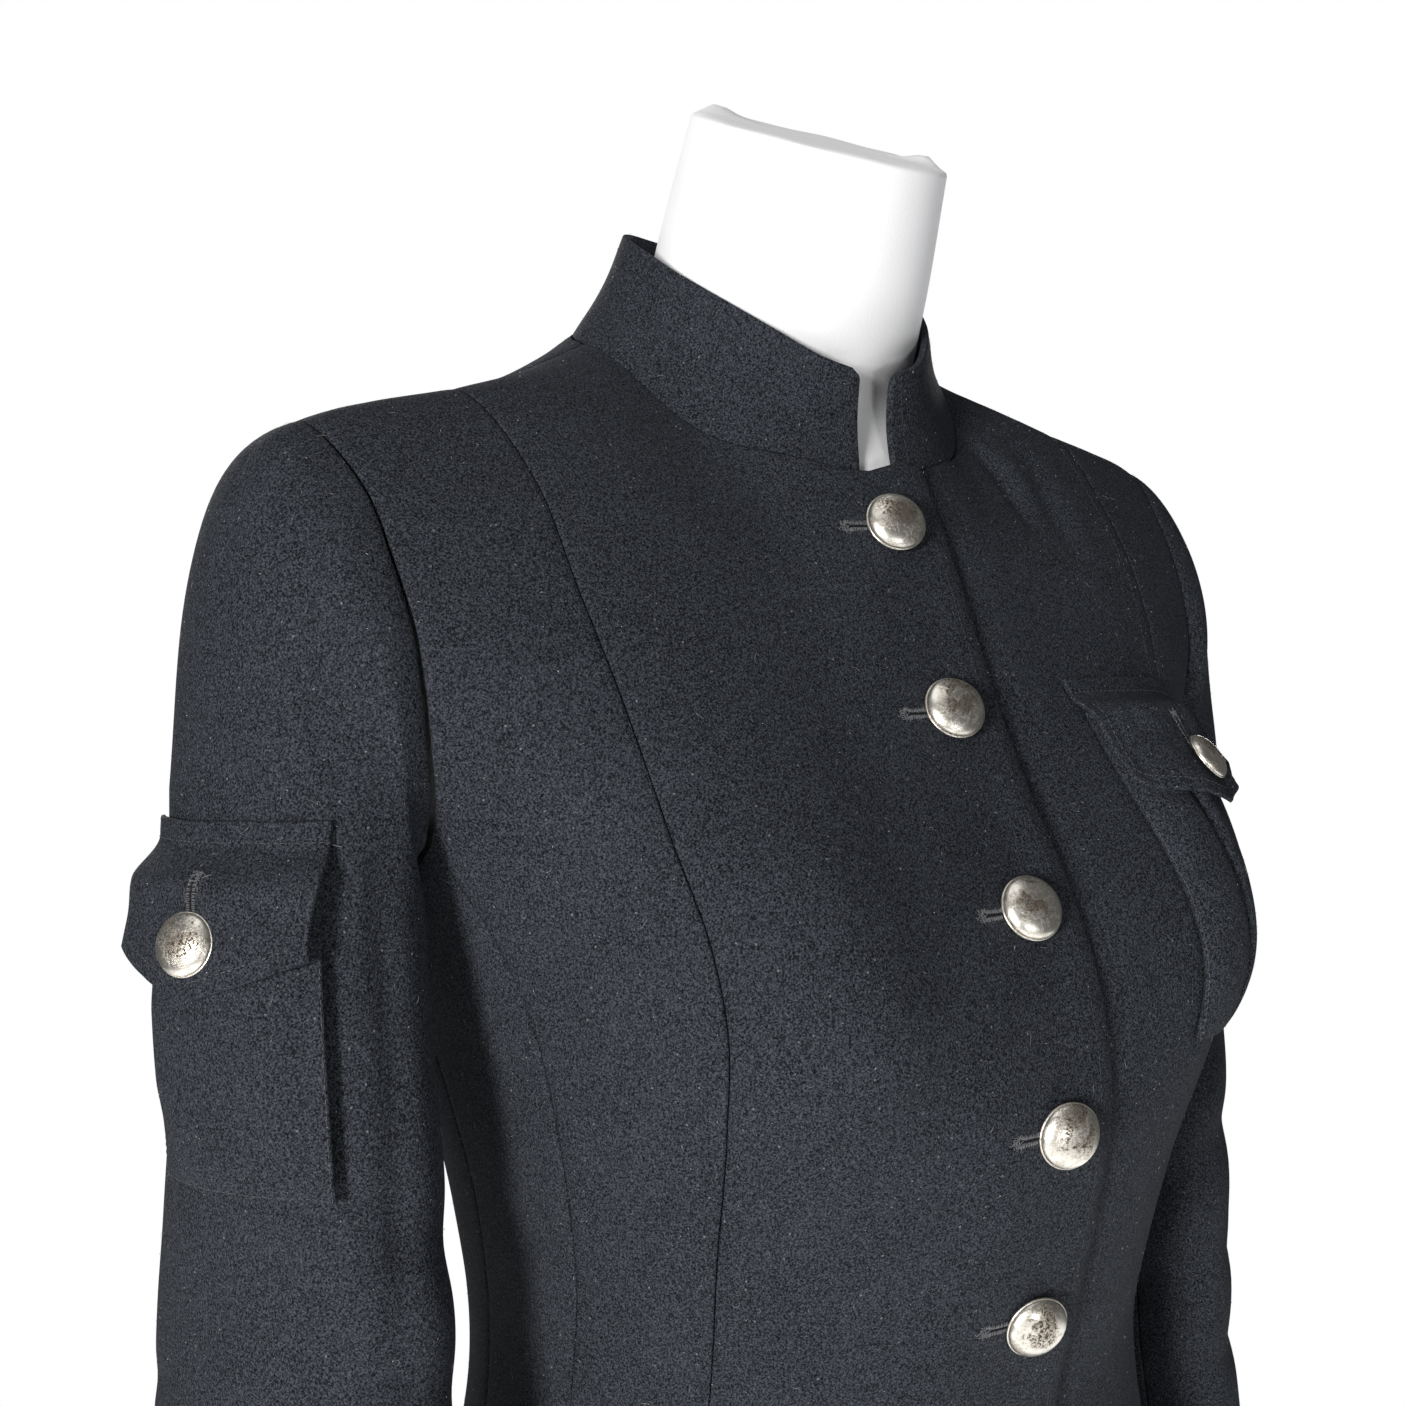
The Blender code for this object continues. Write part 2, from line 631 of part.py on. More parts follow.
def body_grids():
    """Work out the grids of the panels of one half of the body."""
    neck_front = neckline(NECK_FRONT_ANGLES)
    neck_back = neckline(NECK_BACK_ANGLES)
    shoulder_front = shoulder_line(NECK_HALF_WIDTH, PRINCESS_TOP, FRONT_SHOULDER_COLUMNS)
    shoulder_side = shoulder_line(PRINCESS_TOP, SHOULDER_TIP, SIDE_FRONT_COLUMNS)
    shoulder_back = shoulder_line(SHOULDER_TIP, NECK_HALF_WIDTH, BACK_SHOULDER_COLUMNS)

    front_edge = centre_line(neck_front[0][0], neck_front[0], facing=-1.0)
    front_edge[-1] = neck_front[0]
    princess = rising_seam(PRINCESS_SEAM)
    princess[-1] = shoulder_front[-1]
    centre_back = centre_line(0.0, neck_back[-1], facing=1.0)
    centre_back[-1] = neck_back[-1]
    side_front = settle(curve_points(SIDE_FRONT_SEAM, ROWS_LOW))
    side_back = settle(curve_points(SIDE_BACK_SEAM, ROWS_LOW))
    arm_front = settle(curve_points(ARMHOLE_FRONT, ROWS_HIGH))
    arm_back = settle(curve_points(ARMHOLE_BACK, ROWS_HIGH))
    underarm = settle(curve_points(UNDERARM_ARC, SIDE_COLUMNS))
    tip = shoulder_side[-1]
    arm_front[0] = side_front[-1] = underarm[0]
    arm_back[0] = side_back[-1] = underarm[-1]
    arm_front[-1] = arm_back[-1] = tip

    def hem(start, end, count):
        part = np.linspace(0.0, 1.0, count)[:, None]
        return settle(start + (end - start) * part)

    outer_front = np.concatenate([side_front, arm_front[1:]])
    outer_back = np.concatenate([side_back, arm_back[1:]])
    top_front = np.concatenate([neck_front, shoulder_front[1:]])
    top_back = np.concatenate([shoulder_back, neck_back[1:]])
    grids = {
        "front": patch(front_edge, princess,
                       hem(front_edge[0], princess[0], len(top_front)), top_front),
        "side_front": patch(princess, outer_front,
                            hem(princess[0], side_front[0], SIDE_FRONT_COLUMNS), shoulder_side),
        "side": patch(side_front, side_back,
                      hem(side_front[0], side_back[0], SIDE_COLUMNS), underarm),
        "back": patch(outer_back, centre_back,
                      hem(side_back[0], centre_back[0], len(top_back)), top_back),
    }
    loop = np.concatenate([arm_front[::-1], underarm[1:], arm_back[1:-1]])
    return grids, loop


def overlap_lift(grid):
    """Raise the right front where it lies over the left one, easing down beside it."""
    beyond = grid[..., 0] - OVERLAP_HALF - OVERLAP_FLAT
    return OVERLAP_LIFT * (1.0 - ease(beyond / OVERLAP_RAMP))


def make_body(grids):
    """Make the eight panels of the body."""
    for side, word in ((-1.0, "right"), (1.0, "left")):
        for piece, grid in grids.items():
            over = overlap_lift(grid) if (piece, word) == ("front", "right") else None
            make_panel(f"{word}_{piece}", grid, side, over)


def make_collar():
    """Make the stand collar, from its right front end round the neck to its left one.

    Its lower edge uses the neckline's own points, and the rounded corners have more in between.
    """
    half = list(NECK_FRONT_ANGLES[2:]) + list(NECK_BACK_ANGLES[1:])
    marks = np.array(half + [360.0 - angle for angle in half[-2::-1]])
    corner = np.array(COLLAR_CORNER_PARTS) * (half[1] - half[0])
    angles = np.sort(np.concatenate([marks, marks[0] + corner, marks[-1] - corner]))
    at_marks = neckline(marks)
    base = np.stack([np.interp(angles, marks, at_marks[:, axis]) for axis in range(3)], axis=-1)
    turn = np.radians(angles)
    front = COLLAR_TOP_CENTRE - COLLAR_TOP_FRONT
    back = COLLAR_TOP_BACK - COLLAR_TOP_CENTRE
    reach = np.where(np.cos(turn) > 0.0, front, back)
    from_front = np.minimum(angles, 360.0 - angles)
    top = np.stack([COLLAR_TOP_HALF_WIDTH * np.sin(turn), COLLAR_TOP_CENTRE - reach * np.cos(turn),
                    column(COLLAR_TOP_HEIGHTS, from_front, 1)], axis=-1)
    height = top[:, 2] - base[:, 2]
    near_end = np.exp(-((from_front - angles[0]) / COLLAR_END_SPREAD) ** 2)
    lean = np.where(base[:, 0] < 0.0, COLLAR_RIGHT_LEAN, 0.0)
    top[:, 0] += (base[:, 0] + lean - top[:, 0]) * near_end
    run = np.concatenate([[0.0], np.cumsum(np.linalg.norm(np.diff(base, axis=0), axis=1))])
    short = np.clip(1.0 - np.minimum(run, run[-1] - run) / COLLAR_CORNER, 0.0, 1.0)
    cut = COLLAR_CORNER * (1.0 - np.sqrt(1.0 - short ** 2)) / height
    share = np.linspace(0.0, 1.0, COLLAR_ROWS)[:, None] * (1.0 - cut)
    rise = unit(top - base)
    outward = unit(np.cross(unit(np.gradient(base, axis=0)), rise))
    outward *= np.sign(np.sum(outward * (base - [0.0, NECK_CENTRE, 0.0]), axis=-1))[:, None]
    flare = COLLAR_FLARE * np.sin(math.pi * share)
    outer = base + (top - base) * share[..., None] - outward * flare[..., None] + rise * SEAM_GAP
    cloth_wall("collar", outer, outer - outward * COLLAR_CLOTH)


def sleeve_tube(angle, height):
    """Find a point of the left sleeve's outer face below the cap, at an angle and a height.

    The angle is 0 on the outer side, 90 at the front and 180 beside the body.
    """
    centre_x = column(SLEEVE_SECTIONS, height, 1)
    centre_y = column(SLEEVE_SECTIONS, height, 2)
    half_width = column(SLEEVE_SECTIONS, height, 3)
    half_depth = column(SLEEVE_SECTIONS, height, 4)
    fold = np.zeros(np.shape(height))
    for fold_height, fold_angle, rise, spread, turn_spread in SLEEVE_FOLDS:
        turn = (np.degrees(angle) - fold_angle + 180.0) % 360.0 - 180.0
        lean = SLEEVE_FOLD_LEAN * turn
        shape = ((height - fold_height + lean) / spread) ** 2 + (turn / turn_spread) ** 2
        fold = fold + rise * np.exp(-shape)
    thick = (half_width + fold) * np.cos(angle)
    broad = (half_depth + fold) * np.sin(angle)
    turn = math.radians(SLEEVE_TURN)
    return np.stack([centre_x + thick * math.cos(turn) - broad * math.sin(turn),
                     centre_y - thick * math.sin(turn) - broad * math.cos(turn), height], axis=-1)


def sleeve_grid(loop):
    """Work out the left sleeve's outer points, and the directions of its thickness."""
    count = len(loop)
    tangent = unit(np.roll(loop, -1, axis=0) - np.roll(loop, 1, axis=0))
    normal = torso_normal(loop)
    onward = unit(np.cross(tangent, normal))
    onward *= np.sign(onward[:, :1])
    start = loop + onward * SEAM_GAP

    lengths = np.linalg.norm(np.roll(loop, -1, axis=0) - loop, axis=1)
    run = np.concatenate([[0.0], np.cumsum(lengths)])
    bottom = ROWS_HIGH - 1 + SIDE_COLUMNS // 2
    places = [0.0, run[bottom], run[-1]]
    angle = np.interp(run[:count], places, [0.0, math.pi, 2.0 * math.pi])
    turn = np.cos(angle)

    lift = np.radians(CAP_LIFT[0] - CAP_LIFT[1] * turn)[:, None]
    reach = (CAP_REACH[0] + CAP_REACH[1] * turn)[:, None]
    first = start + reach * (onward * np.cos(lift) + normal * np.sin(lift))
    end_height = SLEEVE_CAP_INNER + (SLEEVE_CAP_OUTER - SLEEVE_CAP_INNER) * 0.5 * (1.0 + turn)
    end = sleeve_tube(angle, end_height)
    second = end.copy()
    second[:, 0] -= CAP_LEAN * 0.5 * (1.0 + turn)
    second[:, 2] += CAP_DROP[0] + CAP_DROP[1] * turn

    part = (np.linspace(0.0, 1.0, CAP_ROWS + 1) ** CAP_SPACING)[:, None, None]
    rest = 1.0 - part
    cap = (rest ** 3 * start + 3.0 * rest ** 2 * part * first
           + 3.0 * rest * part ** 2 * second + part ** 3 * end)
    down = np.linspace(0.0, 1.0, TUBE_ROWS)[1:, None]
    heights = end_height + (CUFF_HEIGHT - end_height) * down
    tube = sleeve_tube(np.broadcast_to(angle, heights.shape), heights)
    grid = np.concatenate([cap, tube])

    around = np.roll(grid, -1, axis=1) - np.roll(grid, 1, axis=1)
    along = np.gradient(grid, axis=0)
    outward = unit(np.cross(around, along))
    centre = grid.mean(axis=1, keepdims=True)
    outward *= np.sign(np.sum(outward * (grid - centre), axis=(1, 2)))[:, None, None]
    inward = -outward
    lean = np.minimum(np.sum(inward[0] * onward, axis=-1), 0.0)
    inward[0] = unit(inward[0] - lean[:, None] * onward)
    return grid, inward, np.degrees(angle)


def make_sleeves(loop):
    """Make the top and the under sleeve of each side."""
    grid, inward, angle = sleeve_grid(loop)
    count = len(angle)
    front = int(np.argmin(np.abs(angle - FRONT_SLEEVE_SEAM)))
    back = int(np.argmin(np.abs(angle - BACK_SLEEVE_SEAM)))
    pieces = {
        "top_sleeve": np.arange(back, count + front + 1) % count,
        "under_sleeve": np.arange(front, back + 1),
    }
    for side, word in ((-1.0, "right"), (1.0, "left")):
        for piece, columns in pieces.items():
            outer = grid[:, columns].copy()
            thick = inward[:, columns] * CLOTH
            outer[:, 0] += 0.5 * SEAM_GAP * unit(outer[:, 1] - outer[:, 0])
            outer[:, -1] += 0.5 * SEAM_GAP * unit(outer[:, -2] - outer[:, -1])
            cloth_wall(f"{word}_{piece}", placed(outer, side), placed(outer + thick, side))


def sleeve_angle(distance, height):
    """Turn a distance round the upper arm from the pocket's centre line into an angle."""
    fine = np.radians(np.linspace(-80.0, 110.0, 191))
    ring = sleeve_tube(fine, np.full(fine.shape, height))
    run = np.concatenate([[0.0], np.cumsum(np.linalg.norm(np.diff(ring, axis=0), axis=1))])
    centre = np.interp(math.radians(SLEEVE_POCKET_ANGLE), fine, run)
    return np.interp(centre + distance, run, fine)


def sleeve_normal(angle, height):
    """Find the outward normals of the sleeve tube."""
    around = sleeve_tube(angle + 0.01, height) - sleeve_tube(angle - 0.01, height)
    along = sleeve_tube(angle, height + 0.002) - sleeve_tube(angle, height - 0.002)
    return unit(np.cross(along, around))


def pocket_fullness(across, down):
    """Swell a pocket off its ground: flat along its seams, fuller inside than at its mouth."""
    mouth = MOUTH_SHARE + (1.0 - MOUTH_SHARE) * ease(down / MOUTH_DEPTH)
    return (1.0 - across ** 4) * (1.0 - np.clip(down, 0.0, 1.0) ** 5) * mouth


def laid_piece(name, across, down, surface, offset, side):
    """Make a piece that lies on a panel, from the panel's own points moved out."""
    points, normal = surface(across, down)
    outer = points + normal * (offset + POCKET_CLOTH)[..., None]
    inner = points + normal * offset[..., None]
    cloth_wall(name, placed(outer, side), placed(inner, side))


def make_pocket(names, half, tops, bottom, flap_half, edge, button_height, surface, side,
                fullness, pleat):
    """Make a swelled patch pocket, the pointed flap above it and the flap's button."""
    across, down = np.meshgrid(np.linspace(-1.0, 1.0, POCKET_COLUMNS + 1),
                               np.linspace(0.0, 1.0, POCKET_ROWS + 1))
    pocket_top, flap_top = tops

    def pocket_surface(share, depth):
        return surface(share * half, pocket_top + (bottom - pocket_top) * depth)

    fold = pleat * (1.0 - ease((np.abs(across) * half - PLEAT_FLAT) / PLEAT_FOLD))
    swell = fullness * pocket_fullness(across, down) + fold * (1.0 - down ** 6)
    laid_piece(names[0], across, down, pocket_surface, POCKET_SEAT + swell, side)

    def flap_surface(share, depth):
        low = edge[0] + (edge[1] - edge[0]) * (1.0 - np.abs(share))
        return surface(share * flap_half, flap_top + (low - flap_top) * depth)

    low = edge[0] + (edge[1] - edge[0]) * (1.0 - np.abs(across))
    height = flap_top + (low - flap_top) * down
    under_depth = np.clip((pocket_top - height) / (pocket_top - bottom), 0.0, 1.0)
    under_share = np.clip(np.abs(across) * flap_half / half, 0.0, 1.0)
    under = fullness * pocket_fullness(np.minimum(under_share, FLAP_FLATNESS), under_depth) + pleat
    over = ease(down / FLAP_LIFT_DEPTH)
    stand = POCKET_SEAT + over * (under + POCKET_CLOTH + FLAP_GAP + FLAP_STAND_OFF * down ** 2)
    laid_piece(names[1], across, down, flap_surface, stand, side)
    middle = POCKET_COLUMNS // 2
    depth = (flap_top - button_height) / (flap_top - edge[1])
    seat = np.interp(depth, down[:, middle], stand[:, middle]) + POCKET_CLOTH + FLAP_BUTTON_GAP
    point, normal = flap_surface(np.zeros((1, 1)), np.full((1, 1), depth))
    seat_point = placed(point + normal * seat, side)[0, 0]
    add_button(names[2], POCKET_BUTTON_RADIUS, seat_point, mirrored(normal, side)[0, 0])


def make_pockets():
    """Make the sleeve pocket on the right arm and the pleated chest pocket on the left."""

    def sleeve_surface(distance, height):
        low = (SLEEVE_FLAP_TOP - height) / (SLEEVE_FLAP_TOP - SLEEVE_POCKET_BOTTOM)
        shift = SLEEVE_POCKET_SHIFT[0] + SLEEVE_POCKET_SHIFT[1] * low
        angle = np.vectorize(sleeve_angle)(distance + shift, height)
        return sleeve_tube(angle, height), sleeve_normal(angle, height)

    make_pocket(
        ("sleeve_pocket", "sleeve_pocket_flap", "sleeve_button"), SLEEVE_POCKET_HALF,
        (SLEEVE_POCKET_TOP, SLEEVE_FLAP_TOP), SLEEVE_POCKET_BOTTOM, SLEEVE_FLAP_HALF,
        (SLEEVE_FLAP_SIDE, SLEEVE_FLAP_POINT), SLEEVE_BUTTON_HEIGHT, sleeve_surface, -1.0,
        SLEEVE_FULLNESS, 0.0)

    def chest_surface(distance, height):
        low = (CHEST_FLAP_TOP - height) / (CHEST_FLAP_TOP - CHEST_POCKET_BOTTOM)
        out = CHEST_POCKET_CENTRE - CHEST_POCKET_LEAN * low + distance * CHEST_FORESHORTENING
        points = settle(np.stack([out, np.full(np.shape(out), CHEST_START), height], axis=-1))
        return points, torso_normal(points)

    make_pocket(
        ("chest_pocket", "chest_pocket_flap", "chest_button"), CHEST_POCKET_HALF,
        (CHEST_POCKET_TOP, CHEST_FLAP_TOP), CHEST_POCKET_BOTTOM, CHEST_FLAP_HALF,
        (CHEST_FLAP_SIDE, CHEST_FLAP_POINT), CHEST_BUTTON_HEIGHT, chest_surface, 1.0,
        CHEST_FULLNESS, PLEAT_RISE)


def profile_mesh(name, profile):
    """Make the line of a profile, given from top to bottom as radius and height."""
    mesh = bpy.data.meshes.new(name)
    points = [(radius, 0.0, height) for radius, height in profile]
    mesh.from_pydata(points, [(number, number + 1) for number in range(len(points) - 1)], [])
    return mesh


def add_turned(name, profile, steps, finish):
    """Add a solid turned from a profile with a Screw modifier."""
    item = add_object(name, profile_mesh(name, profile), finish)
    screw = item.modifiers.new("Turn", "SCREW")
    screw.steps = steps
    screw.render_steps = steps
    screw.use_merge_vertices = True
    screw.merge_threshold = 0.00001
    screw.use_smooth_shade = True
    return item


def button_profile(radius):
    """Shape a domed shank button: dome, rolled rim, flat back and short shank."""
    width, rise, spring = DOME
    dome = [(radius * width * math.sin(turn), radius * (spring + rise * math.cos(turn)))
            for turn in np.radians(DOME_ANGLES)]
    return dome + [(radius * out, radius * height) for out, height in RIM_AND_SHANK]


def add_button(name, radius, seat, normal):
    """Seat a button on the cloth at a point, with its dome along the normal."""
    item = add_turned(name, button_profile(radius), BUTTON_STEPS, "button")
    item.rotation_mode = "QUATERNION"
    item.rotation_quaternion = Vector(normal).to_track_quat("Z", "Y")
    item.location = Vector(seat) + Vector(normal) * BUTTON_GAP
    return item


def make_buttons():
    """Make the buttons of the front closing."""
    for number, height in enumerate(FRONT_BUTTON_HEIGHTS, start=1):
        start = np.array([[BUTTON_LINE, 0.0, height]])
        point = find_surface(start, np.array([0.0, -1.0, 0.0]), BODY_REACH)
        normal = torso_normal(point)[0]
        add_button(f"button_{number}", FRONT_BUTTON_RADIUS, point[0] + normal * OVERLAP_LIFT, normal)


def form_ring(height, angle):
    """Work out one ring of the dress form, a gap inside the jacket, with rounded shoulder ends."""
    start = np.stack([np.zeros(FORM_COLUMNS), np.full(FORM_COLUMNS, FORM_CENTRE),
                      np.full(FORM_COLUMNS, height)], axis=-1)
    direction = np.stack([np.cos(angle), np.sin(angle), np.zeros(FORM_COLUMNS)], axis=-1)
    ring = find_surface(start, direction, FORM_REACH)
    gap = FORM_FREE_GAP + (FORM_REST_GAP - FORM_FREE_GAP) * fade(height, FORM_REST_FADE)
    ring = ring - torso_normal(ring) * (CLOTH + gap)
    out = np.abs(ring[:, 0]) / FORM_SHOULDER_END
    held = ring[:, 0] / (1.0 + out ** FORM_SHOULDER_POWER) ** (1.0 / FORM_SHOULDER_POWER)
    ring[:, 0] += (held - ring[:, 0]) * fade(height, FORM_SHOULDER_FADE)
    left = ring[:, 0] > 0.0
    ring[left] = placed(ring[left], 1.0)
    return ring


def form_rings():
    """Stack the rings of the dress form: torso, blend into the leaning neck, rounded neck top."""
    angle = np.linspace(0.0, 2.0 * math.pi, FORM_COLUMNS, endpoint=False)
    low = np.array([0.0, *NECK_AXIS_LOW])
    top = np.array([0.0, *NECK_AXIS_TOP])
    axis = unit(top - low)
    around = np.stack([np.cos(angle), np.sin(angle), np.zeros(FORM_COLUMNS)], axis=-1)
    rings = []
    for height in FORM_HEIGHTS:
        ring = form_ring(height, angle)
        share = NECK_BLEND_SHARE * fade(height, (NECK_BLEND[0], NECK_BLEND[1] - NECK_BLEND[0]))
        neck = low + axis * (height - low[2]) / axis[2] + NECK_RADIUS_LOW * around
        neck[:, 2] = ring[:, 2]
        rings.append(ring * (1.0 - share) + neck * share)
    for step in np.linspace(NECK_FIRST_STEP, 1.0, NECK_RINGS):
        radius = NECK_RADIUS_LOW + (NECK_RADIUS_TOP - NECK_RADIUS_LOW) * step
        back = unit(np.array([0.0, 1.0, -axis[1] / axis[2] * ease(step)]))
        rings.append(low + (top - low) * step + radius * (
            np.cos(angle)[:, None] * np.array([1.0, 0.0, 0.0]) + np.sin(angle)[:, None] * back))
    for share, rise in NECK_TOP:
        rings.append(top + (rings[-1] - rings[-1].mean(axis=0)) * share + axis * rise)
    return rings


def make_form():
    """Make the dress form, closed at its underside and at the top of its neck."""
    rings = form_rings()
    points = np.concatenate(rings + [rings[-1].mean(axis=0, keepdims=True)])
    number = np.arange(len(rings) * FORM_COLUMNS).reshape(len(rings), FORM_COLUMNS)
    after = np.roll(number, -1, axis=1)
    walls = np.stack([number[:-1], after[:-1], after[1:], number[1:]], axis=-1).reshape(-1, 4)
    tops = np.stack([number[-1], after[-1], np.full(FORM_COLUMNS, len(points) - 1)], axis=-1)
    faces = walls.tolist() + [number[0, ::-1].tolist()] + tops.tolist()
    mesh = bpy.data.meshes.new("dress_form")
    mesh.from_pydata(points.tolist(), [], faces)
    mesh.update()
    return add_object("dress_form", mesh, "jersey")


def make_stand():
    """Make the pole with its flange and boss, and the round base."""
    top = FORM_BOTTOM - LAYER_GAP
    low = BASE_THICKNESS + LAYER_GAP
    pole = [(0.0, top), (POLE_FLANGE_RADIUS, top), (POLE_FLANGE_RADIUS, top - POLE_FLANGE),
            (POLE_RADIUS, top - 2.0 * POLE_FLANGE), (POLE_RADIUS, low + POLE_BOSS),
            (POLE_BOSS_RADIUS, low + 0.5 * POLE_BOSS), (POLE_BOSS_RADIUS, low), (0.0, low)]
    add_turned("stand_pole", pole, POLE_STEPS, "steel")
    edge = BASE_EDGE
    base = [(0.0, BASE_THICKNESS), (BASE_RADIUS - 2.0 * edge, BASE_THICKNESS),
            (BASE_RADIUS - 0.5 * edge, BASE_THICKNESS - 0.6 * edge),
            (BASE_RADIUS, BASE_THICKNESS - 2.0 * edge), (BASE_RADIUS, 0.0), (0.0, 0.0)]
    add_turned("stand_base", base, BASE_STEPS, "base")


def main():
    """Build the jacket and what it stands on."""
    clear_scene()
    collection = bpy.data.collections.new("jacket_on_dress_form")
    bpy.context.scene.collection.children.link(collection)
    for name in FINISHES:
        make_finish(name)
    grids, loop = body_grids()
    make_body(grids)
    make_collar()
    make_sleeves(loop)
    make_pockets()
    make_buttons()
    make_form()
    make_stand()


main()
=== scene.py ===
"""Looks of a fitted stand-collar jacket that hangs on a limbless dress form.

Metres, +Z up, the origin under the middle of the base. The front faces -Y and the wearer's left
is +X. Every cloth piece is a surface on a grid of two parameters, worked out from widths and
depths at named heights, then closed into a wall of cloth with rounded edges.
"""
from __future__ import annotations

import logging
import math
from dataclasses import dataclass, field
from enum import Enum
from typing import Callable, Sequence

import bpy
import numpy as np
from mathutils import Matrix, Quaternion, Vector

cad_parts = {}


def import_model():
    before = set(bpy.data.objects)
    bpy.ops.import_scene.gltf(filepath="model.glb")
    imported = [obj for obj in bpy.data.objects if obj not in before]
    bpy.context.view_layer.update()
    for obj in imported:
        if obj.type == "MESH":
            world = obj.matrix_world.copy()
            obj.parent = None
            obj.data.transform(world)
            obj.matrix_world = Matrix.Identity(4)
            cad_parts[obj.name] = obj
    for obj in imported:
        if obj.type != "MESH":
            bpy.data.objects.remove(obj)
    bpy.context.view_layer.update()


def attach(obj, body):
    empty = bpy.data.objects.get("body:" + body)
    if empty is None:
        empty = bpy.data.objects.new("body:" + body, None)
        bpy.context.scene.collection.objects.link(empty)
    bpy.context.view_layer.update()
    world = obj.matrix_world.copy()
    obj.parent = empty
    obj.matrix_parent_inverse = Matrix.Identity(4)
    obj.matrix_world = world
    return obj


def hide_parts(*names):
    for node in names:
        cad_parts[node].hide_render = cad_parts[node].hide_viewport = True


LOG = logging.getLogger("jacket")
Rows = tuple[tuple[float, ...], ...]
Array = np.ndarray
SEED = 11
EDGE_STEP = 0.0002


class Side(Enum):
    """The wearer's two sides, with the sign of X on each."""

    RIGHT = -1.0
    LEFT = 1.0

    @property
    def word(self) -> str:
        """Give the side's name in lower case."""
        return self.name.lower()


def ease(value: Array | float) -> Array:
    """Rise smoothly from 0 at 0 to 1 at 1."""
    value = np.clip(value, 0.0, 1.0)
    return value * value * (3.0 - 2.0 * value)


def unit(vectors: Array) -> Array:
    """Scale each vector to length 1."""
    return vectors / np.maximum(np.linalg.norm(vectors, axis=-1, keepdims=True), 1e-12)


def smooth_value(keys: Array, values: Array, at: Array | float) -> Array:
    """Read a smooth curve through values at their keys.

    Each piece is a cubic whose end slopes are the length-weighted means of the slopes beside it.

    Args:
        keys: Rising keys.
        values: One value for each key.
        at: Where the curve is read, held between the first and the last key.

    Returns:
        The curve's values, in the shape of at.
    """
    keys = np.asarray(keys, float)
    values = np.asarray(values, float)
    steps = np.diff(keys)
    slopes = np.diff(values) / steps
    middle = (slopes[:-1] * steps[1:] + slopes[1:] * steps[:-1]) / (steps[1:] + steps[:-1])
    tangents = np.concatenate([slopes[:1], middle, slopes[-1:]])
    at = np.clip(at, keys[0], keys[-1])
    piece = np.clip(np.searchsorted(keys, at, side="right") - 1, 0, len(steps) - 1)
    step = steps[piece]
    part = (at - keys[piece]) / step
    rest = 1.0 - part
    return ((1.0 + 2.0 * part) * rest ** 2 * values[piece]
            + part * rest ** 2 * step * tangents[piece]
            + part ** 2 * (3.0 - 2.0 * part) * values[piece + 1]
            + part ** 2 * (part - 1.0) * step * tangents[piece + 1])


def column(rows: Rows, at: Array | float, number: int) -> Array:
    """Read one column of a table at a value of its first column."""
    table = np.asarray(rows, float)
    return smooth_value(table[:, 0], table[:, number], at)


def run_of(points: Array) -> Array:
    """Measure the length run along rows of points, from 0 at the first point of each."""
    gap = np.linalg.norm(np.diff(points, axis=-2), axis=-1)
    return np.concatenate([np.zeros(gap.shape[:-1] + (1,)), np.cumsum(gap, axis=-1)], axis=-1)


def read_run(run: Array, values: Array, at: Array) -> Array:
    """Read vectors that are known at lengths run along a line, at other lengths."""
    return np.stack([np.interp(at, run, values[:, k]) for k in range(3)], axis=-1)


def read_at(points: Array, shares: Array) -> Array:
    """Read points at shares of the length of a row of points."""
    run = run_of(points)
    return read_run(run, points, shares * run[-1])


def read_two(first: Array, second: Array, share: float, at: Array) -> Array:
    """Read one line and then another, which meet at a share."""
    return np.where((at <= share)[:, None], read_at(first, np.minimum(at / share, 1.0)),
                    read_at(second, np.maximum((at - share) / (1.0 - share), 0.0)))


def dense_curve(rows: Rows, count: int = 800) -> Array:
    """Draw a smooth curve of many points through a few."""
    knots = np.asarray(rows, float)
    chord = run_of(knots)
    fine = np.linspace(0.0, chord[-1], count)
    return np.stack([smooth_value(chord, knots[:, k], fine) for k in range(3)], axis=-1)


def edged(length: float, step: float) -> Array:
    """Space shares of a length evenly, with a few close ones at both ends for a rounded edge.

    Args:
        length: The length in metres.
        step: The distance between the even points.

    Returns:
        Rising shares from 0 to 1.
    """
    close = EDGE_STEP * 2.0 ** np.arange(3) / length
    middle = np.linspace(0.0, 1.0, int(length / step) + 1)[1:-1]
    middle = middle[(middle > 1.5 * close[-1]) & (middle < 1.0 - 1.5 * close[-1])]
    return np.concatenate([[0.0], close, middle, 1.0 - close[::-1], [1.0]])


def edge_distance(grid: Array) -> tuple[Array, Array, Array, Array]:
    """Measure how far each point of a grid is from its left, right, first and last edges."""
    left = run_of(grid)
    start = run_of(grid.transpose(1, 0, 2)).T
    return left, left[:, -1:] - left, start, start[-1:] - start


def grid_area(grid: Array) -> float:
    """Add up the areas of a grid's cells."""
    one = np.cross(grid[1:, 1:] - grid[:-1, :-1], grid[1:, :-1] - grid[:-1, 1:])
    return float(0.5 * np.linalg.norm(one, axis=-1).sum())


def grid_normals(grid: Array, closed: bool = False) -> Array:
    """Find the normals of a grid's surface, across times along."""
    if closed:
        around = np.roll(grid, -1, axis=1) - np.roll(grid, 1, axis=1)
    else:
        around = np.gradient(grid, axis=1)
    return unit(np.cross(around, np.gradient(grid, axis=0)))


def circle(count: int) -> Array:
    """Space angles evenly round a full turn."""
    return np.linspace(0.0, 2.0 * math.pi, count, endpoint=False)


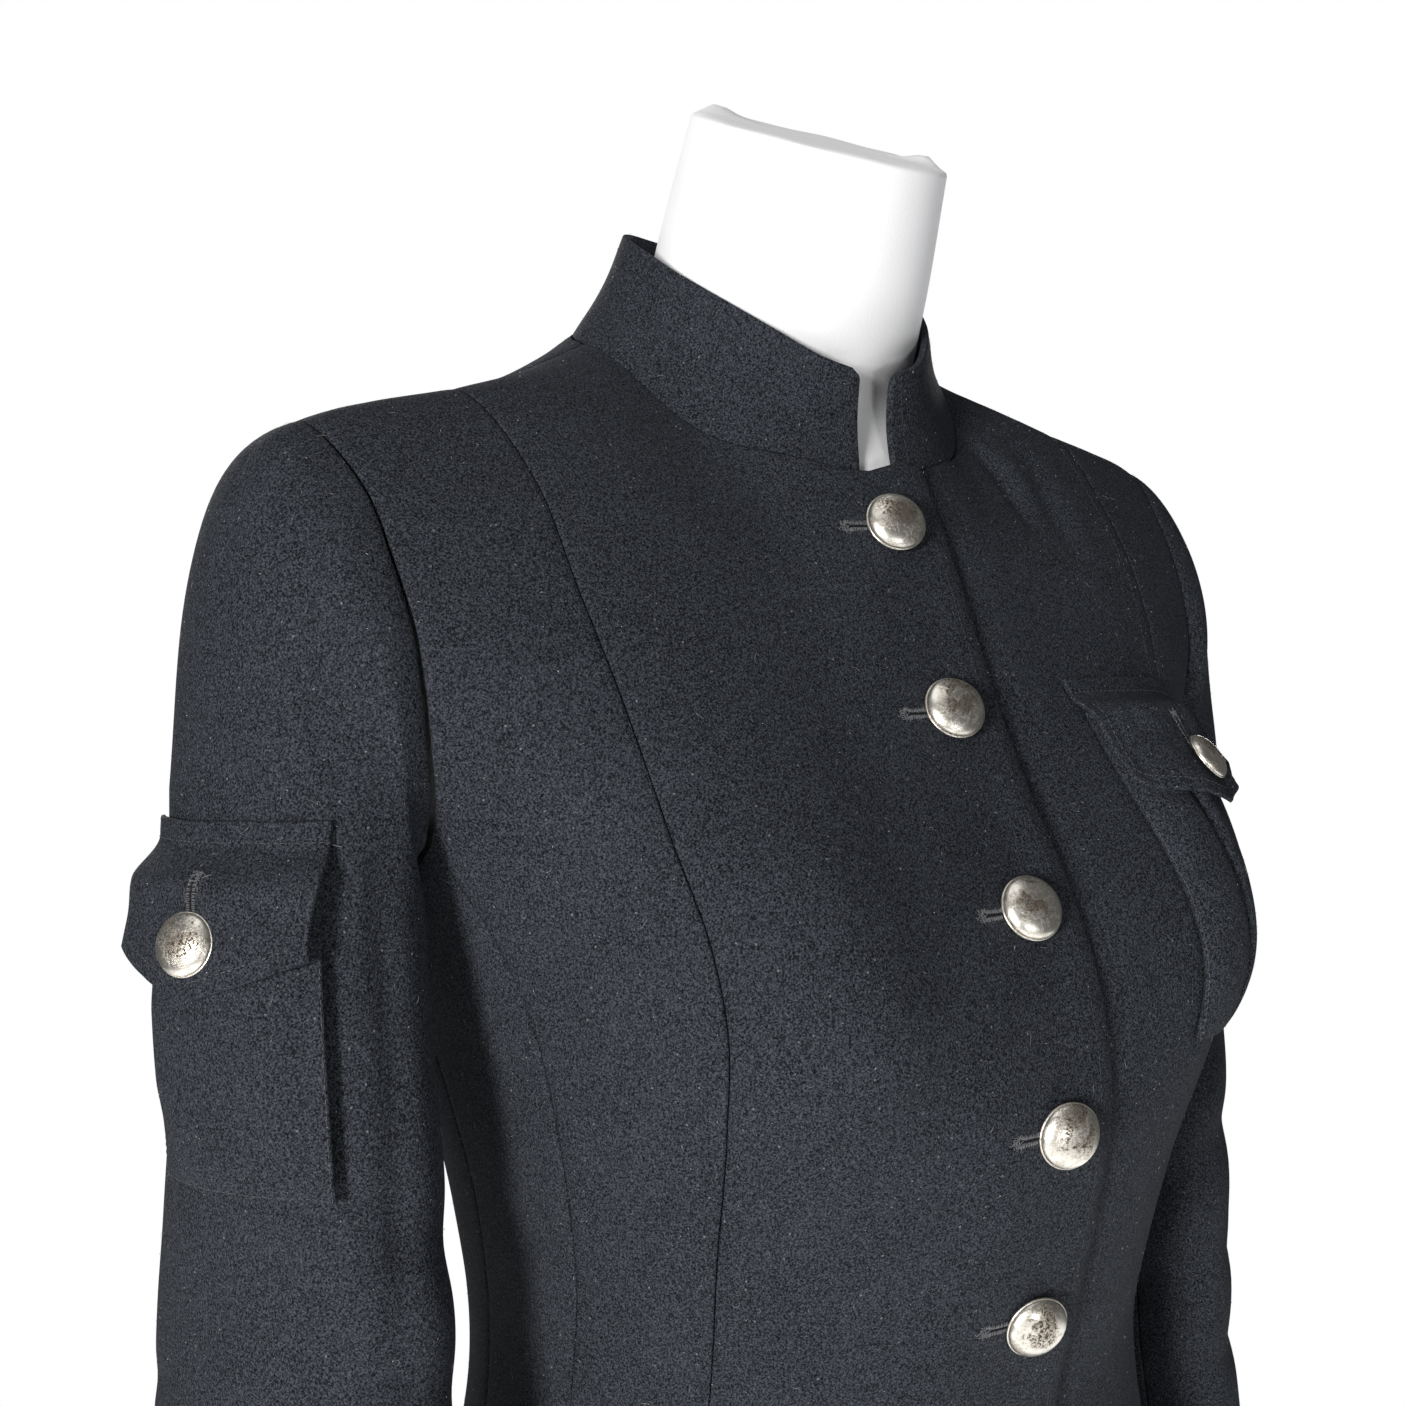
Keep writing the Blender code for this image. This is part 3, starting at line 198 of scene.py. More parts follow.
def mesh_object(name: str, points: Array, faces: Sequence, smooth_angle: float = 40.0
                ) -> bpy.types.Object:
    """Make an object at the origin from points and faces."""
    mesh = bpy.data.meshes.new(name)
    mesh.from_pydata(np.asarray(points).tolist(), [], [tuple(face) for face in faces])
    mesh.update()
    mesh.shade_smooth()
    mesh.set_sharp_from_angle(angle=math.radians(smooth_angle))
    item = bpy.data.objects.new(name, mesh)
    bpy.context.scene.collection.objects.link(item)
    return item


def quads_of(rows: int, columns: int, wrap: bool = False) -> Array:
    """Number the corners of a grid's cells, round a ring where it wraps."""
    number = np.arange(rows * columns).reshape(rows, columns)
    if wrap:
        number = np.concatenate([number, number[:, :1]], axis=1)
    return np.stack([number[:-1, :-1], number[:-1, 1:], number[1:, 1:], number[1:, :-1]],
                    axis=-1).reshape(-1, 4)


def ring_faces(rows: int, columns: int) -> list[list[int]]:
    """Number the faces of rings that are stacked upwards and closed by two pole points.

    The lower pole comes after the points of the rings, and the upper pole after the lower one.
    """
    around = np.arange(columns)
    after = (around + 1) % columns
    size = rows * columns
    last = size - columns
    low = np.stack([after, around, np.full(columns, size)], axis=-1)
    high = np.stack([last + around, last + after, np.full(columns, size + 1)], axis=-1)
    return quads_of(rows, columns, wrap=True).tolist() + low.tolist() + high.tolist()


def wall_object(name: str, outer: Array, inner: Array) -> bpy.types.Object:
    """Close a wall of cloth between the grids of its outer and its inner points."""
    rows, columns = outer.shape[:2]
    size = rows * columns
    quads = quads_of(rows, columns)
    number = np.arange(size).reshape(rows, columns)
    rim = np.concatenate([number[0, :-1], number[:-1, -1], number[-1, :0:-1], number[:0:-1, 0]])
    face = outer.reshape(-1, 3)[quads]
    facing = np.cross(face[:, 1] - face[:, 0], face[:, 3] - face[:, 0])
    away = (outer - inner)[:-1, :-1].reshape(-1, 3)
    if np.sum(facing * away) < 0.0:
        quads = quads[:, ::-1]
        rim = rim[::-1]
    after = np.roll(rim, -1)
    sides = np.stack([after, rim, rim + size, after + size], axis=-1)
    faces = np.concatenate([quads, quads[:, ::-1] + size, sides])
    points = np.concatenate([outer.reshape(-1, 3), inner.reshape(-1, 3)])
    return mesh_object(name, points, faces.tolist(), 75.0)


def turned_object(name: str, profile: Rows, steps: int, place: Matrix | None = None
                  ) -> bpy.types.Object:
    """Turn a profile of (radius, height) pairs, from top to bottom, round the Z axis.

    The first and the last radius are 0, and each becomes one pole point.
    """
    table = np.asarray(profile, float)
    radius, height = table[1:-1, :1], table[1:-1, 1:]
    angle = circle(steps)
    rings = np.stack([radius * np.cos(angle), radius * np.sin(angle),
                      np.broadcast_to(height, (len(height), steps))], axis=-1)
    poles = [[0.0, 0.0, table[0, 1]], [0.0, 0.0, table[-1, 1]]]
    points = np.concatenate([rings.reshape(-1, 3), poles])
    if place is not None:
        points = points @ np.array(place.to_3x3()).T + np.array(place.translation)
    return mesh_object(name, points, [face[::-1] for face in ring_faces(len(rings), steps)])


def tubes_object(name: str, points: Array) -> bpy.types.Object:
    """Close many small tubes as one mesh, from their points by tube, ring and side."""
    count, rings, sides = points.shape[:3]
    first = (np.arange(count) * rings * sides)[:, None, None]
    cap = np.arange(sides)
    caps = np.stack([cap[::-1], cap + (rings - 1) * sides])
    walls = (quads_of(rings, sides, wrap=True) + first).reshape(-1, 4)
    ends = (caps + first).reshape(-1, sides)
    return mesh_object(name, points.reshape(-1, 3), walls.tolist() + ends.tolist(), 80.0)


def threads_object(name: str, starts: Array, ends: Array, out: Array, radius: float,
                   bow: float) -> bpy.types.Object:
    """Make many short stitches as one mesh of small spindles.

    Each spindle runs from its start to its end, bows outwards in the middle by a half sine, and
    narrows at its ends.

    Args:
        name: The object's name.
        starts: Where the stitches start.
        ends: Where they end.
        out: Unit directions off the cloth.
        radius: A thread's radius.
        bow: How far the middle stands off the line between the ends.
    """
    share = np.array([0.0, 0.18, 0.5, 0.82, 1.0])
    width = np.array([0.35, 0.9, 1.0, 0.9, 0.35]) * radius
    along = unit(ends - starts)
    beside = unit(np.cross(along, out))
    angle = circle(5)
    middle = (starts[:, None] + (ends - starts)[:, None] * share[:, None]
              + out[:, None] * (bow * np.sin(math.pi * share))[:, None])
    ring = (beside[:, None] * np.cos(angle)[:, None] + out[:, None] * np.sin(angle)[:, None])
    return tubes_object(name, middle[:, :, None] + ring[:, None] * width[:, None, None])


def dress(item: bpy.types.Object, finish: bpy.types.Material, node: str = "") -> None:
    """Give an object its finish and slot, and let it ride along and stand for a node, if any."""
    if node:
        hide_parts(node)
    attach(item, "root")
    item.data.materials.append(finish)


@dataclass(frozen=True)
class TorsoShape:
    """The surface that the jacket's outer face lies on.

    Each height has a superellipse in plan, and towards the shoulder ridge its depth closes to
    zero, so that the front and the back meet over the ridge in a round.
    """

    # Height, half width, front depth, back depth
    sections: Rows = (
        (0.860, 0.170, 0.124, 0.128),
        (0.930, 0.155, 0.118, 0.117),
        (0.985, 0.140, 0.112, 0.104),
        (1.020, 0.134, 0.1145, 0.100),
        (1.050, 0.134, 0.1237, 0.099),
        (1.085, 0.139, 0.134, 0.100),
        (1.120, 0.146, 0.1418, 0.103),
        (1.160, 0.154, 0.1385, 0.106),
        (1.193, 0.164, 0.1266, 0.108),
        (1.230, 0.182, 0.107, 0.110),
        (1.260, 0.207, 0.0928, 0.110),
        (1.300, 0.228, 0.0765, 0.105),
        (1.327, 0.236, 0.0655, 0.098),
        (1.350, 0.240, 0.056, 0.090),
        (1.390, 0.240, 0.047, 0.080),
        (1.430, 0.240, 0.040, 0.074),
    )
    # Shoulder ridge: distance from the centre, height, place from front (-) to back (+)
    ridge: Rows = (
        (0.000, 1.4400, 0.018),
        (0.035, 1.4310, 0.018),
        (0.068, 1.4100, 0.018),
        (0.092, 1.3940, 0.012),
        (0.112, 1.3835, 0.008),
        (0.134, 1.3760, 0.005),
        (0.150, 1.3720, 0.003),
        (0.172, 1.3670, 0.001),
        (0.190, 1.3620, 0.000),
        (0.205, 1.3550, 0.000),
        (0.240, 1.3050, 0.000),
    )
    ridge_rounding: float = 0.095
    ridge_power: float = 2.2
    back_power: float = 2.45
    front_power_low: float = 2.12
    front_power_high: float = 2.47
    # Distance from the centre, height, half spread across, half spread up, fullness
    bust: tuple[float, ...] = (0.094, 1.178, 0.046, 0.055, 0.028)
    # Beside the collar: distance from the centre, place, spread across, spread along, depth
    neck_hollow: tuple[float, ...] = (0.054, -0.026, 0.037, 0.034, 0.028)
    reach: float = 0.3

    def value(self, points: Array) -> Array:
        """Tell inside (below 0) from outside (above 0) of the surface."""
        out = np.abs(points[..., 0])
        hollow_x, hollow_y, spread_x, spread_y, hollow = self.neck_hollow
        fall = ((out - hollow_x) / spread_x) ** 2 + ((points[..., 1] - hollow_y) / spread_y) ** 2
        height = points[..., 2] + hollow * np.exp(-fall)
        ridge_place = column(self.ridge, out, 2) * ease((height - 1.29) / 0.09)
        depth = points[..., 1] - ridge_place
        half_width = column(self.sections, height, 1)
        bust_x, bust_z, bust_across, bust_up, fullness = self.bust
        rise = np.where(height > bust_z, 1.15 * bust_up, bust_up)
        bust = np.exp(-((out - bust_x) / bust_across) ** 2 - ((height - bust_z) / rise) ** 2)
        front = column(self.sections, height, 2) + fullness * bust + ridge_place
        back = column(self.sections, height, 3) - ridge_place
        high = np.clip((height - 1.20) / 0.08, 0.0, 1.0)
        front_power = self.front_power_low + (self.front_power_high - self.front_power_low) * high
        power = np.where(depth < 0.0, front_power, self.back_power)
        closing = (height - column(self.ridge, out, 1)) / self.ridge_rounding + 1.0
        closing = 1.0 - np.maximum(closing, 0.0) ** self.ridge_power
        across = 1.0 - (out / half_width) ** power
        room = np.where(across > 0.0, closing * across, -np.abs(across))
        return (np.abs(depth) / np.where(depth < 0.0, front, back)) ** power - room

    def normals(self, points: Array) -> Array:
        """Find the outward normals from small differences of the value."""
        step = 0.0004
        slope = np.zeros(points.shape)
        for axis in range(3):
            move = np.zeros(3)
            move[axis] = step
            slope[..., axis] = self.value(points + move) - self.value(points - move)
        return unit(slope)

    def find(self, start: Array, direction: Array, reach: float) -> Array:
        """Find where lines from inside leave the surface, by halving a step."""
        low = np.zeros(start.shape[:-1])
        high = np.full(start.shape[:-1], reach)
        for _ in range(26):
            middle = 0.5 * (low + high)
            inside = self.value(start + direction * middle[..., None]) < 0.0
            low = np.where(inside, middle, low)
            high = np.where(inside, high, middle)
        return start + direction * low[..., None]

    def settle(self, points: Array) -> Array:
        """Move points along lines from the torso's core until they lie on the surface."""
        core = points.copy()
        core[..., 0] *= 0.55
        core[..., 1] = 0.0
        core[..., 2] -= 0.10 * ease((points[..., 2] - 1.24) / 0.10)
        return self.find(core, points - core, 2.5)

    def drop(self, out: Array, place: Array) -> Array:
        """Find the surface straight above places in plan."""
        start = np.stack([out, place, np.full(np.shape(out), 1.27)], axis=-1)
        return self.find(start, np.array([0.0, 0.0, 1.0]), 0.25)


@dataclass(frozen=True)
class Hang:
    """How the jacket hangs on the form: the left shoulder is drawn towards the centre."""

    draw: float = 0.010
    start: float = 0.095
    spread: float = 0.085

    def turn(self, directions: Array, side: Side) -> Array:
        """Turn directions of the wearer's left half into those of either side."""
        return directions * np.array([side.value, 1.0, 1.0])

    def place(self, points: Array, side: Side) -> Array:
        """Turn points of the wearer's left half into those of either side."""
        moved = np.array(points)
        if side is Side.LEFT:
            moved[..., 0] -= self.draw * ease((moved[..., 0] - self.start) / self.spread)
        return self.turn(moved, side)


@dataclass(frozen=True)
class Fold:
    """One soft fold of the cloth: a line on the jacket, and how far it lifts or sinks.

    The lift falls off across the line as a bell curve, and along it towards both ends.
    """

    line: Rows
    lift: float
    width: float

    def lift_of(self, points: Array) -> Array:
        """Give the lift at points near the line."""
        knots = dense_curve(self.line, 24) if len(self.line) > 2 else np.asarray(self.line, float)
        best = np.full(points.shape[:-1], 1e9)
        along = np.zeros(points.shape[:-1])
        steps = len(knots) - 1
        for number in range(steps):
            start = knots[number]
            span = knots[number + 1] - start
            share = np.clip((points - start) @ span / (span @ span), 0.0, 1.0)
            gap = np.linalg.norm(points - start - share[..., None] * span, axis=-1)
            near = gap < best
            best = np.where(near, gap, best)
            along = np.where(near, (number + share) / steps, along)
        taper = ease(along / 0.3) * ease((1.0 - along) / 0.3)
        return self.lift * np.exp(-(best / self.width) ** 2) * taper


def folded(points: Array, facing: Array, folds: Sequence[Fold]) -> Array:
    """Lift points by one fold after the other."""
    for fold in folds:
        points = points + facing * fold.lift_of(points)[..., None]
    return points


@dataclass
class Skin:
    """The finished outer face of a cloth piece, for what is sewn to it or lies on it."""

    grid: Array
    normal: Array

    def seat(self, points: Array) -> tuple[Array, Array]:
        """Move points onto the skin, along the normal of its nearest grid point."""
        flat = self.grid.reshape(-1, 3)
        facing = self.normal.reshape(-1, 3)
        gap = ((points[:, None] - flat[None]) ** 2).sum(axis=-1)
        near = np.argmin(gap, axis=1)
        normal = facing[near]
        rise = np.sum((points - flat[near]) * normal, axis=-1, keepdims=True)
        return points - normal * rise, normal

    def share_of_area(self) -> Array:
        """Give the area round each grid point, for scattering evenly."""
        down, across = np.gradient(self.grid, axis=(0, 1))
        return np.linalg.norm(np.cross(down, across), axis=-1)

    def beside(self, edge: str, distance: float, first: float, last: float
               ) -> tuple[Array, Array]:
        """Follow a line at a distance from an edge.

        Args:
            edge: left, right, start or end, as edge_distance names them.
            distance: The distance in metres.
            first: The share of the edge where the line starts.
            last: The share where it ends.

        Returns:
            Points and normals along the line.
        """
        grid, normal = self.grid, self.normal
        if edge in ("start", "end"):
            grid, normal = grid.transpose(1, 0, 2), normal.transpose(1, 0, 2)
        if edge in ("right", "end"):
            grid, normal = grid[:, ::-1], normal[:, ::-1]
        run = run_of(grid)
        below = np.clip((run < distance).sum(axis=1) - 1, 0, run.shape[1] - 2)
        rows = np.arange(len(grid))
        step = run[rows, below + 1] - run[rows, below]
        part = ((distance - run[rows, below]) / step)[:, None]
        line = grid[rows, below] * (1.0 - part) + grid[rows, below + 1] * part
        facing = unit(normal[rows, below] * (1.0 - part) + normal[rows, below + 1] * part)
        cut = slice(int(first * (len(line) - 1)), int(last * (len(line) - 1)) + 1)
        return line[cut], facing[cut]


@dataclass
class Cloth:
    """What all cloth pieces share: thickness, gaps, edges and how a piece is made."""

    thickness: float = 0.0020
    seam_gap: float = 0.00034
    layer_gap: float = 0.0006
    edge_round: float = 0.0009
    seam_dip: float = 0.00045
    seam_dip_width: float = 0.0035
    step: float = 0.0032
    ripple_height: float = 0.000075
    hang: Hang = field(default_factory=Hang)
    finish: bpy.types.Material | None = None
    skins: dict[str, Skin] = field(default_factory=dict)

    def ripple(self, points: Array) -> Array:
        """Add up soft waves of many directions and lengths: cloth never lies quite flat."""
        draw = np.random.default_rng(SEED)
        waves = 26
        direction = unit(draw.normal(size=(waves, 3)) * np.array([1.0, 1.0, 0.55]))
        length = draw.uniform(0.028, 0.110, waves)
        start = draw.uniform(0.0, 2.0 * math.pi, waves)
        wave = np.sin(points @ (direction * (2.0 * math.pi / length)[:, None]).T + start)
        return wave @ (self.ripple_height * length / 0.07)

    def soften(self, outer: Array, normal: Array) -> Array:
        """Round a piece's four edges and let its surface dip towards them.

        A point nearer to an edge than the rounding sinks along a quarter circle, and the dip
        falls off with the distance from the edge.
        """
        sink = np.zeros(outer.shape[:2])
        for distance in edge_distance(outer):
            near = np.clip(1.0 - distance / self.edge_round, 0.0, 1.0)
            sink = np.maximum(sink, self.edge_round * (1.0 - np.sqrt(1.0 - near ** 2)))
            sink = sink + self.seam_dip * np.exp(-(distance / self.seam_dip_width) ** 2) * 0.5
        return outer - normal * sink[..., None]

    def draw_in(self, grid: Array, ends: bool = True) -> Array:
        """Draw the sides of a grid, and its first and last rows if asked, in for a seam."""
        amount = 0.5 * self.seam_gap
        drawn = grid.copy()
        if ends:
            drawn[0] += amount * unit(grid[4] - grid[0])
            drawn[-1] += amount * unit(grid[-5] - grid[-1])
        drawn[:, 0] += amount * unit(grid[:, 4] - grid[:, 0])
        drawn[:, -1] += amount * unit(grid[:, -5] - grid[:, -1])
        return drawn

    def make(self, node: str, outer: Array, normal: Array, thickness: float, held: str,
             rests_on: Sequence[str]) -> None:
        """Make a cloth piece in place of a node, log its cut and keep its skin.

        Args:
            node: The node that the piece stands for.
            outer: The grid of its outer points, before its edges are rounded.
            normal: The outward normals.
            thickness: The wall's thickness, laid inwards.
            held: How the cloth is held; not used.
            rests_on: What it rests on; not used.
        """
        outer = outer + normal * self.ripple(outer)[..., None]
        inner = outer - normal * thickness
        soft = self.soften(outer, normal)
        self.skins[node] = Skin(soft, normal)
        item = wall_object("cloth_" + node, soft, inner)
        left, _, start, _ = edge_distance(outer)
        flat = (float(left[:, -1].max()), float(start[-1].max()))
        area = min(grid_area(outer), 0.999 * flat[0] * flat[1])
        dress(item, self.finish, node)
        LOG.info("%s: cut %.0f by %.0f mm", node, flat[0] * 1000.0, flat[1] * 1000.0)


@dataclass
class Body:
    """The eight panels of the body, between the neck, the armholes and the hem."""

    torso: TorsoShape
    cloth: Cloth
    folds: tuple[Fold, ...] = ()
    hem_height: float = 0.860
    join_height: float = 1.222
    neck_half_width: float = 0.0815
    neck_centre: float = 0.012
    neck_front: float = 0.0688
    neck_back: float = 0.049
    shoulder_tip: float = 0.196
    princess_top: float = 0.1406
    overlap_half: float = 0.020
    overlap_ramp: float = 0.036
    overlap_angle: float = -14.0
    # Beside the closing's edge: distance from the centre, spread, rise
    roll: Rows = ((0.0105, 0.0055, 0.0011), (0.0270, 0.0060, -0.0013))
    roll_top: float = 1.338
    overlap_top: Rows = ((-0.0197, 0.0016), (-0.0085, 0.0040), (0.0055, 0.0), (0.30, 0.0))
    princess: Rows = (
        (0.126, -0.074, 0.860),
        (0.116, -0.071, 0.930),
        (0.106, -0.068, 0.985),
        (0.104, -0.080, 1.041),
        (0.108, -0.093, 1.094),
        (0.1125, -0.106, 1.134),
        (0.1150, -0.112, 1.164),
        (0.1175, -0.108, 1.192),
        (0.1215, -0.096, 1.222),
        (0.1270, -0.080, 1.265),
        (0.1340, -0.066, 1.303),
        (0.1360, -0.046, 1.338),
        (0.1395, -0.031, 1.3565),
        (0.1406, 0.0045, 1.3745),
    )
    side_front: Rows = (
        (0.163, -0.036, 0.860),
        (0.148, -0.034, 0.930),
        (0.134, -0.032, 0.985),
        (0.129, -0.034, 1.035),
        (0.131, -0.043, 1.071),
        (0.136, -0.049, 1.104),
        (0.141, -0.051, 1.132),
        (0.147, -0.050, 1.160),
        (0.157, -0.043, 1.192),
        (0.172, -0.032, 1.2225),
    )
    side_back: Rows = (
        (0.168, 0.024, 0.860),
        (0.153, 0.024, 0.930),
        (0.138, 0.022, 0.985),
        (0.133, 0.019, 1.020),
        (0.136, 0.011, 1.065),
        (0.142, 0.006, 1.100),
        (0.148, 0.010, 1.139),
        (0.157, 0.022, 1.180),
        (0.172, 0.034, 1.2225),
    )
    armhole_front: Rows = (
        (0.172, -0.032, 1.2225),
        (0.177, -0.046, 1.240),
        (0.181, -0.054, 1.265),
        (0.1845, -0.054, 1.290),
        (0.187, -0.046, 1.313),
        (0.190, -0.034, 1.336),
        (0.194, -0.021, 1.350),
        (0.196, 0.000, 1.3595),
    )
    armhole_back: Rows = (
        (0.172, 0.034, 1.2225),
        (0.177, 0.051, 1.240),
        (0.181, 0.064, 1.265),
        (0.184, 0.067, 1.290),
        (0.187, 0.058, 1.313),
        (0.190, 0.043, 1.336),
        (0.194, 0.024, 1.351),
        (0.196, 0.000, 1.3595),
    )
    underarm: Rows = (
        (0.172, -0.032, 1.2225),
        (0.172, -0.016, 1.2130),
        (0.172, 0.001, 1.2100),
        (0.172, 0.018, 1.2130),
        (0.172, 0.034, 1.2225),
    )
    low_share: float = 0.68
    neck_share: float = 0.62
    # Rough lengths of a tall and a short panel and widths of the front, the back and a side
    grid_lengths: tuple[float, ...] = (0.50, 0.36, 0.15, 0.17, 0.07)

    def neckline(self, angles: Array) -> Array:
        """Follow the neckline, from angle 0 at the centre front to 180 at the nape."""
        angle = np.radians(angles)
        reach = np.where(np.cos(angle) > 0.0, self.neck_front, self.neck_back)
        return self.torso.drop(self.neck_half_width * np.sin(angle),
                               self.neck_centre - reach * np.cos(angle))

    def shoulder_line(self, first: float, last: float, shares: Array) -> Array:
        """Follow the shoulder seam between two distances from the centre."""
        out = first + (last - first) * shares
        part = (out - self.neck_half_width) / (self.shoulder_tip - self.neck_half_width)
        return self.torso.drop(out, self.neck_centre * (1.0 - part))

    def rising(self, rows: Rows, shares: Array) -> Array:
        """Read a seam at shares that pass the join height at the low share."""
        fine = dense_curve(rows)
        split = int(np.argmax(fine[:, 2] > self.join_height))
        return self.torso.settle(read_two(fine[:split + 1], fine[split:], self.low_share, shares))

    def centre_line(self, out: float, top: Array, facing: float, shares: Array) -> Array:
        """Rise along the centre front (facing -1) or the centre back (1)."""
        heights = np.interp(shares, (0.0, self.low_share, 1.0),
                            (self.hem_height, self.join_height, top[2]))
        start = np.stack([np.full(len(heights), out), np.zeros(len(heights)), heights], axis=-1)
        line = self.torso.find(start, np.array([0.0, facing, 0.0]), self.torso.reach)
        line[-1] = top
        return line

    def patch(self, left: Array, right: Array, top: Array, across: Array, up: Array) -> Array:
        """Fill the edges of a panel with a Coons patch and settle it onto the torso.

        The patch adds the two ruled surfaces between facing edges and takes off the bilinear
        one through the corners. The hem runs between the feet of the two seams, on the torso.
        """
        bottom = self.torso.settle(left[0] + (right[0] - left[0]) * across[:, None])
        across = across[None, :, None]
        up = up[:, None, None]
        sides = (1.0 - across) * left[:, None] + across * right[:, None]
        ends = (1.0 - up) * bottom[None] + up * top[None]
        corners = ((1.0 - across) * (1.0 - up) * bottom[0] + across * (1.0 - up) * bottom[-1]
                   + (1.0 - across) * up * top[0] + across * up * top[-1])
        return self.torso.settle(sides + ends - corners)

    def panel_edges(self) -> dict[str, tuple[Array, Array, Array, Array, Array]]:
        """Work out the panels of the left half.

        Returns:
            By a panel's name: its left, right and top edge, and the shares across it and up it.
        """
        tall, short, front_across, back_across, side_across = (
            edged(length, self.cloth.step) for length in self.grid_lengths)
        tall = np.unique(np.append(tall, self.low_share))
        neck = self.neckline(np.linspace(self.overlap_angle, 90.0, 200))
        nape = self.neckline(np.linspace(90.0, 180.0, 200))
        fine = np.linspace(0.0, 1.0, 200)
        shoulder = self.shoulder_line(self.neck_half_width, self.princess_top, fine)
        shoulder_back = self.shoulder_line(self.shoulder_tip, self.neck_half_width, fine)
        top_front = read_two(neck, shoulder, self.neck_share, front_across)
        top_back = read_two(shoulder_back, nape, 1.0 - self.neck_share, back_across)
        front_edge = self.centre_line(neck[0][0], top_front[0], -1.0, tall)
        centre_back = self.centre_line(0.0, top_back[-1], 1.0, tall)
        princess = self.rising(self.princess, tall)
        princess[-1] = top_front[-1]
        side_front, side_back = map(dense_curve, (self.side_front, self.side_back))
        outer_front, outer_back = (
            self.torso.settle(read_two(seam, dense_curve(armhole), self.low_share, tall))
            for seam, armhole in ((side_front, self.armhole_front), (side_back, self.armhole_back)))
        below_front, below_back = (self.torso.settle(read_at(seam, short))
                                   for seam in (side_front, side_back))
        underarm = self.torso.settle(read_at(dense_curve(self.underarm), side_across))
        shoulder_side = self.shoulder_line(self.princess_top, self.shoulder_tip, side_across)
        return {
            "front": (front_edge, princess, top_front, front_across, tall),
            "side_front": (princess, outer_front, shoulder_side, side_across, tall),
            "side": (below_front, below_back, underarm, side_across, short),
            "back": (outer_back, centre_back, top_back, back_across, tall),
        }

    def overlap_lift(self, grid: Array) -> Array:
        """Raise the right front where it lies over the left one, easing down beside it."""
        beyond = grid[..., 0] - self.overlap_half - 0.004
        lift = self.cloth.thickness + self.cloth.layer_gap
        return lift * (1.0 - ease(beyond / self.overlap_ramp))

    def over_the_left(self, drawn: Array, grid: Array, normal: Array) -> Array:
        """Lift the right front over the left one, and raise its top edge past the collar."""
        level = normal * np.array([1.0, 1.0, 0.0])
        lift = self.overlap_lift(grid) / np.sum(level ** 2, axis=-1)
        outer = drawn + level * lift[..., None]
        _, _, _, below_top = edge_distance(grid)
        out, height = np.array(self.overlap_top).T
        outer[..., 2] += np.interp(grid[..., 0], out, height) * (1.0 - ease(below_top / 0.014))
        return outer

    def front_roll(self, points: Array) -> Array:
        """Roll the closing's edge softly, with a hollow beside it, fading below the collar."""
        rise = sum(height * np.exp(-((points[..., 0] - out) / spread) ** 2)
                   for out, spread, height in self.roll)
        return rise * ease((self.roll_top - points[..., 2]) / 0.03)

    def armhole_loop(self) -> Array:
        """Follow the left armhole from the shoulder tip by the front, underarm and back."""
        front, under, back = (self.torso.settle(dense_curve(rows)) for rows in (
            self.armhole_front, self.underarm, self.armhole_back))
        return np.concatenate([front[::-1], under[1:], back[1:]])

    def build(self) -> None:
        """Make the panels of both sides."""
        for piece, edges in self.panel_edges().items():
            grid = self.patch(*edges)
            normal = self.torso.normals(grid)
            drawn = self.cloth.draw_in(grid)
            for side in Side:
                outer = drawn
                if piece == "front" and side is Side.RIGHT:
                    outer = self.over_the_left(drawn, grid, normal)
                placed = self.cloth.hang.place(outer, side)
                facing = self.cloth.hang.turn(normal, side)
                if piece == "front":
                    placed = placed + facing * self.front_roll(placed)[..., None]
                placed = folded(placed, facing, self.folds)
                self.cloth.make(f"{side.word}_{piece}", placed, facing, self.cloth.thickness,
                                "draped", ["dress_form"])


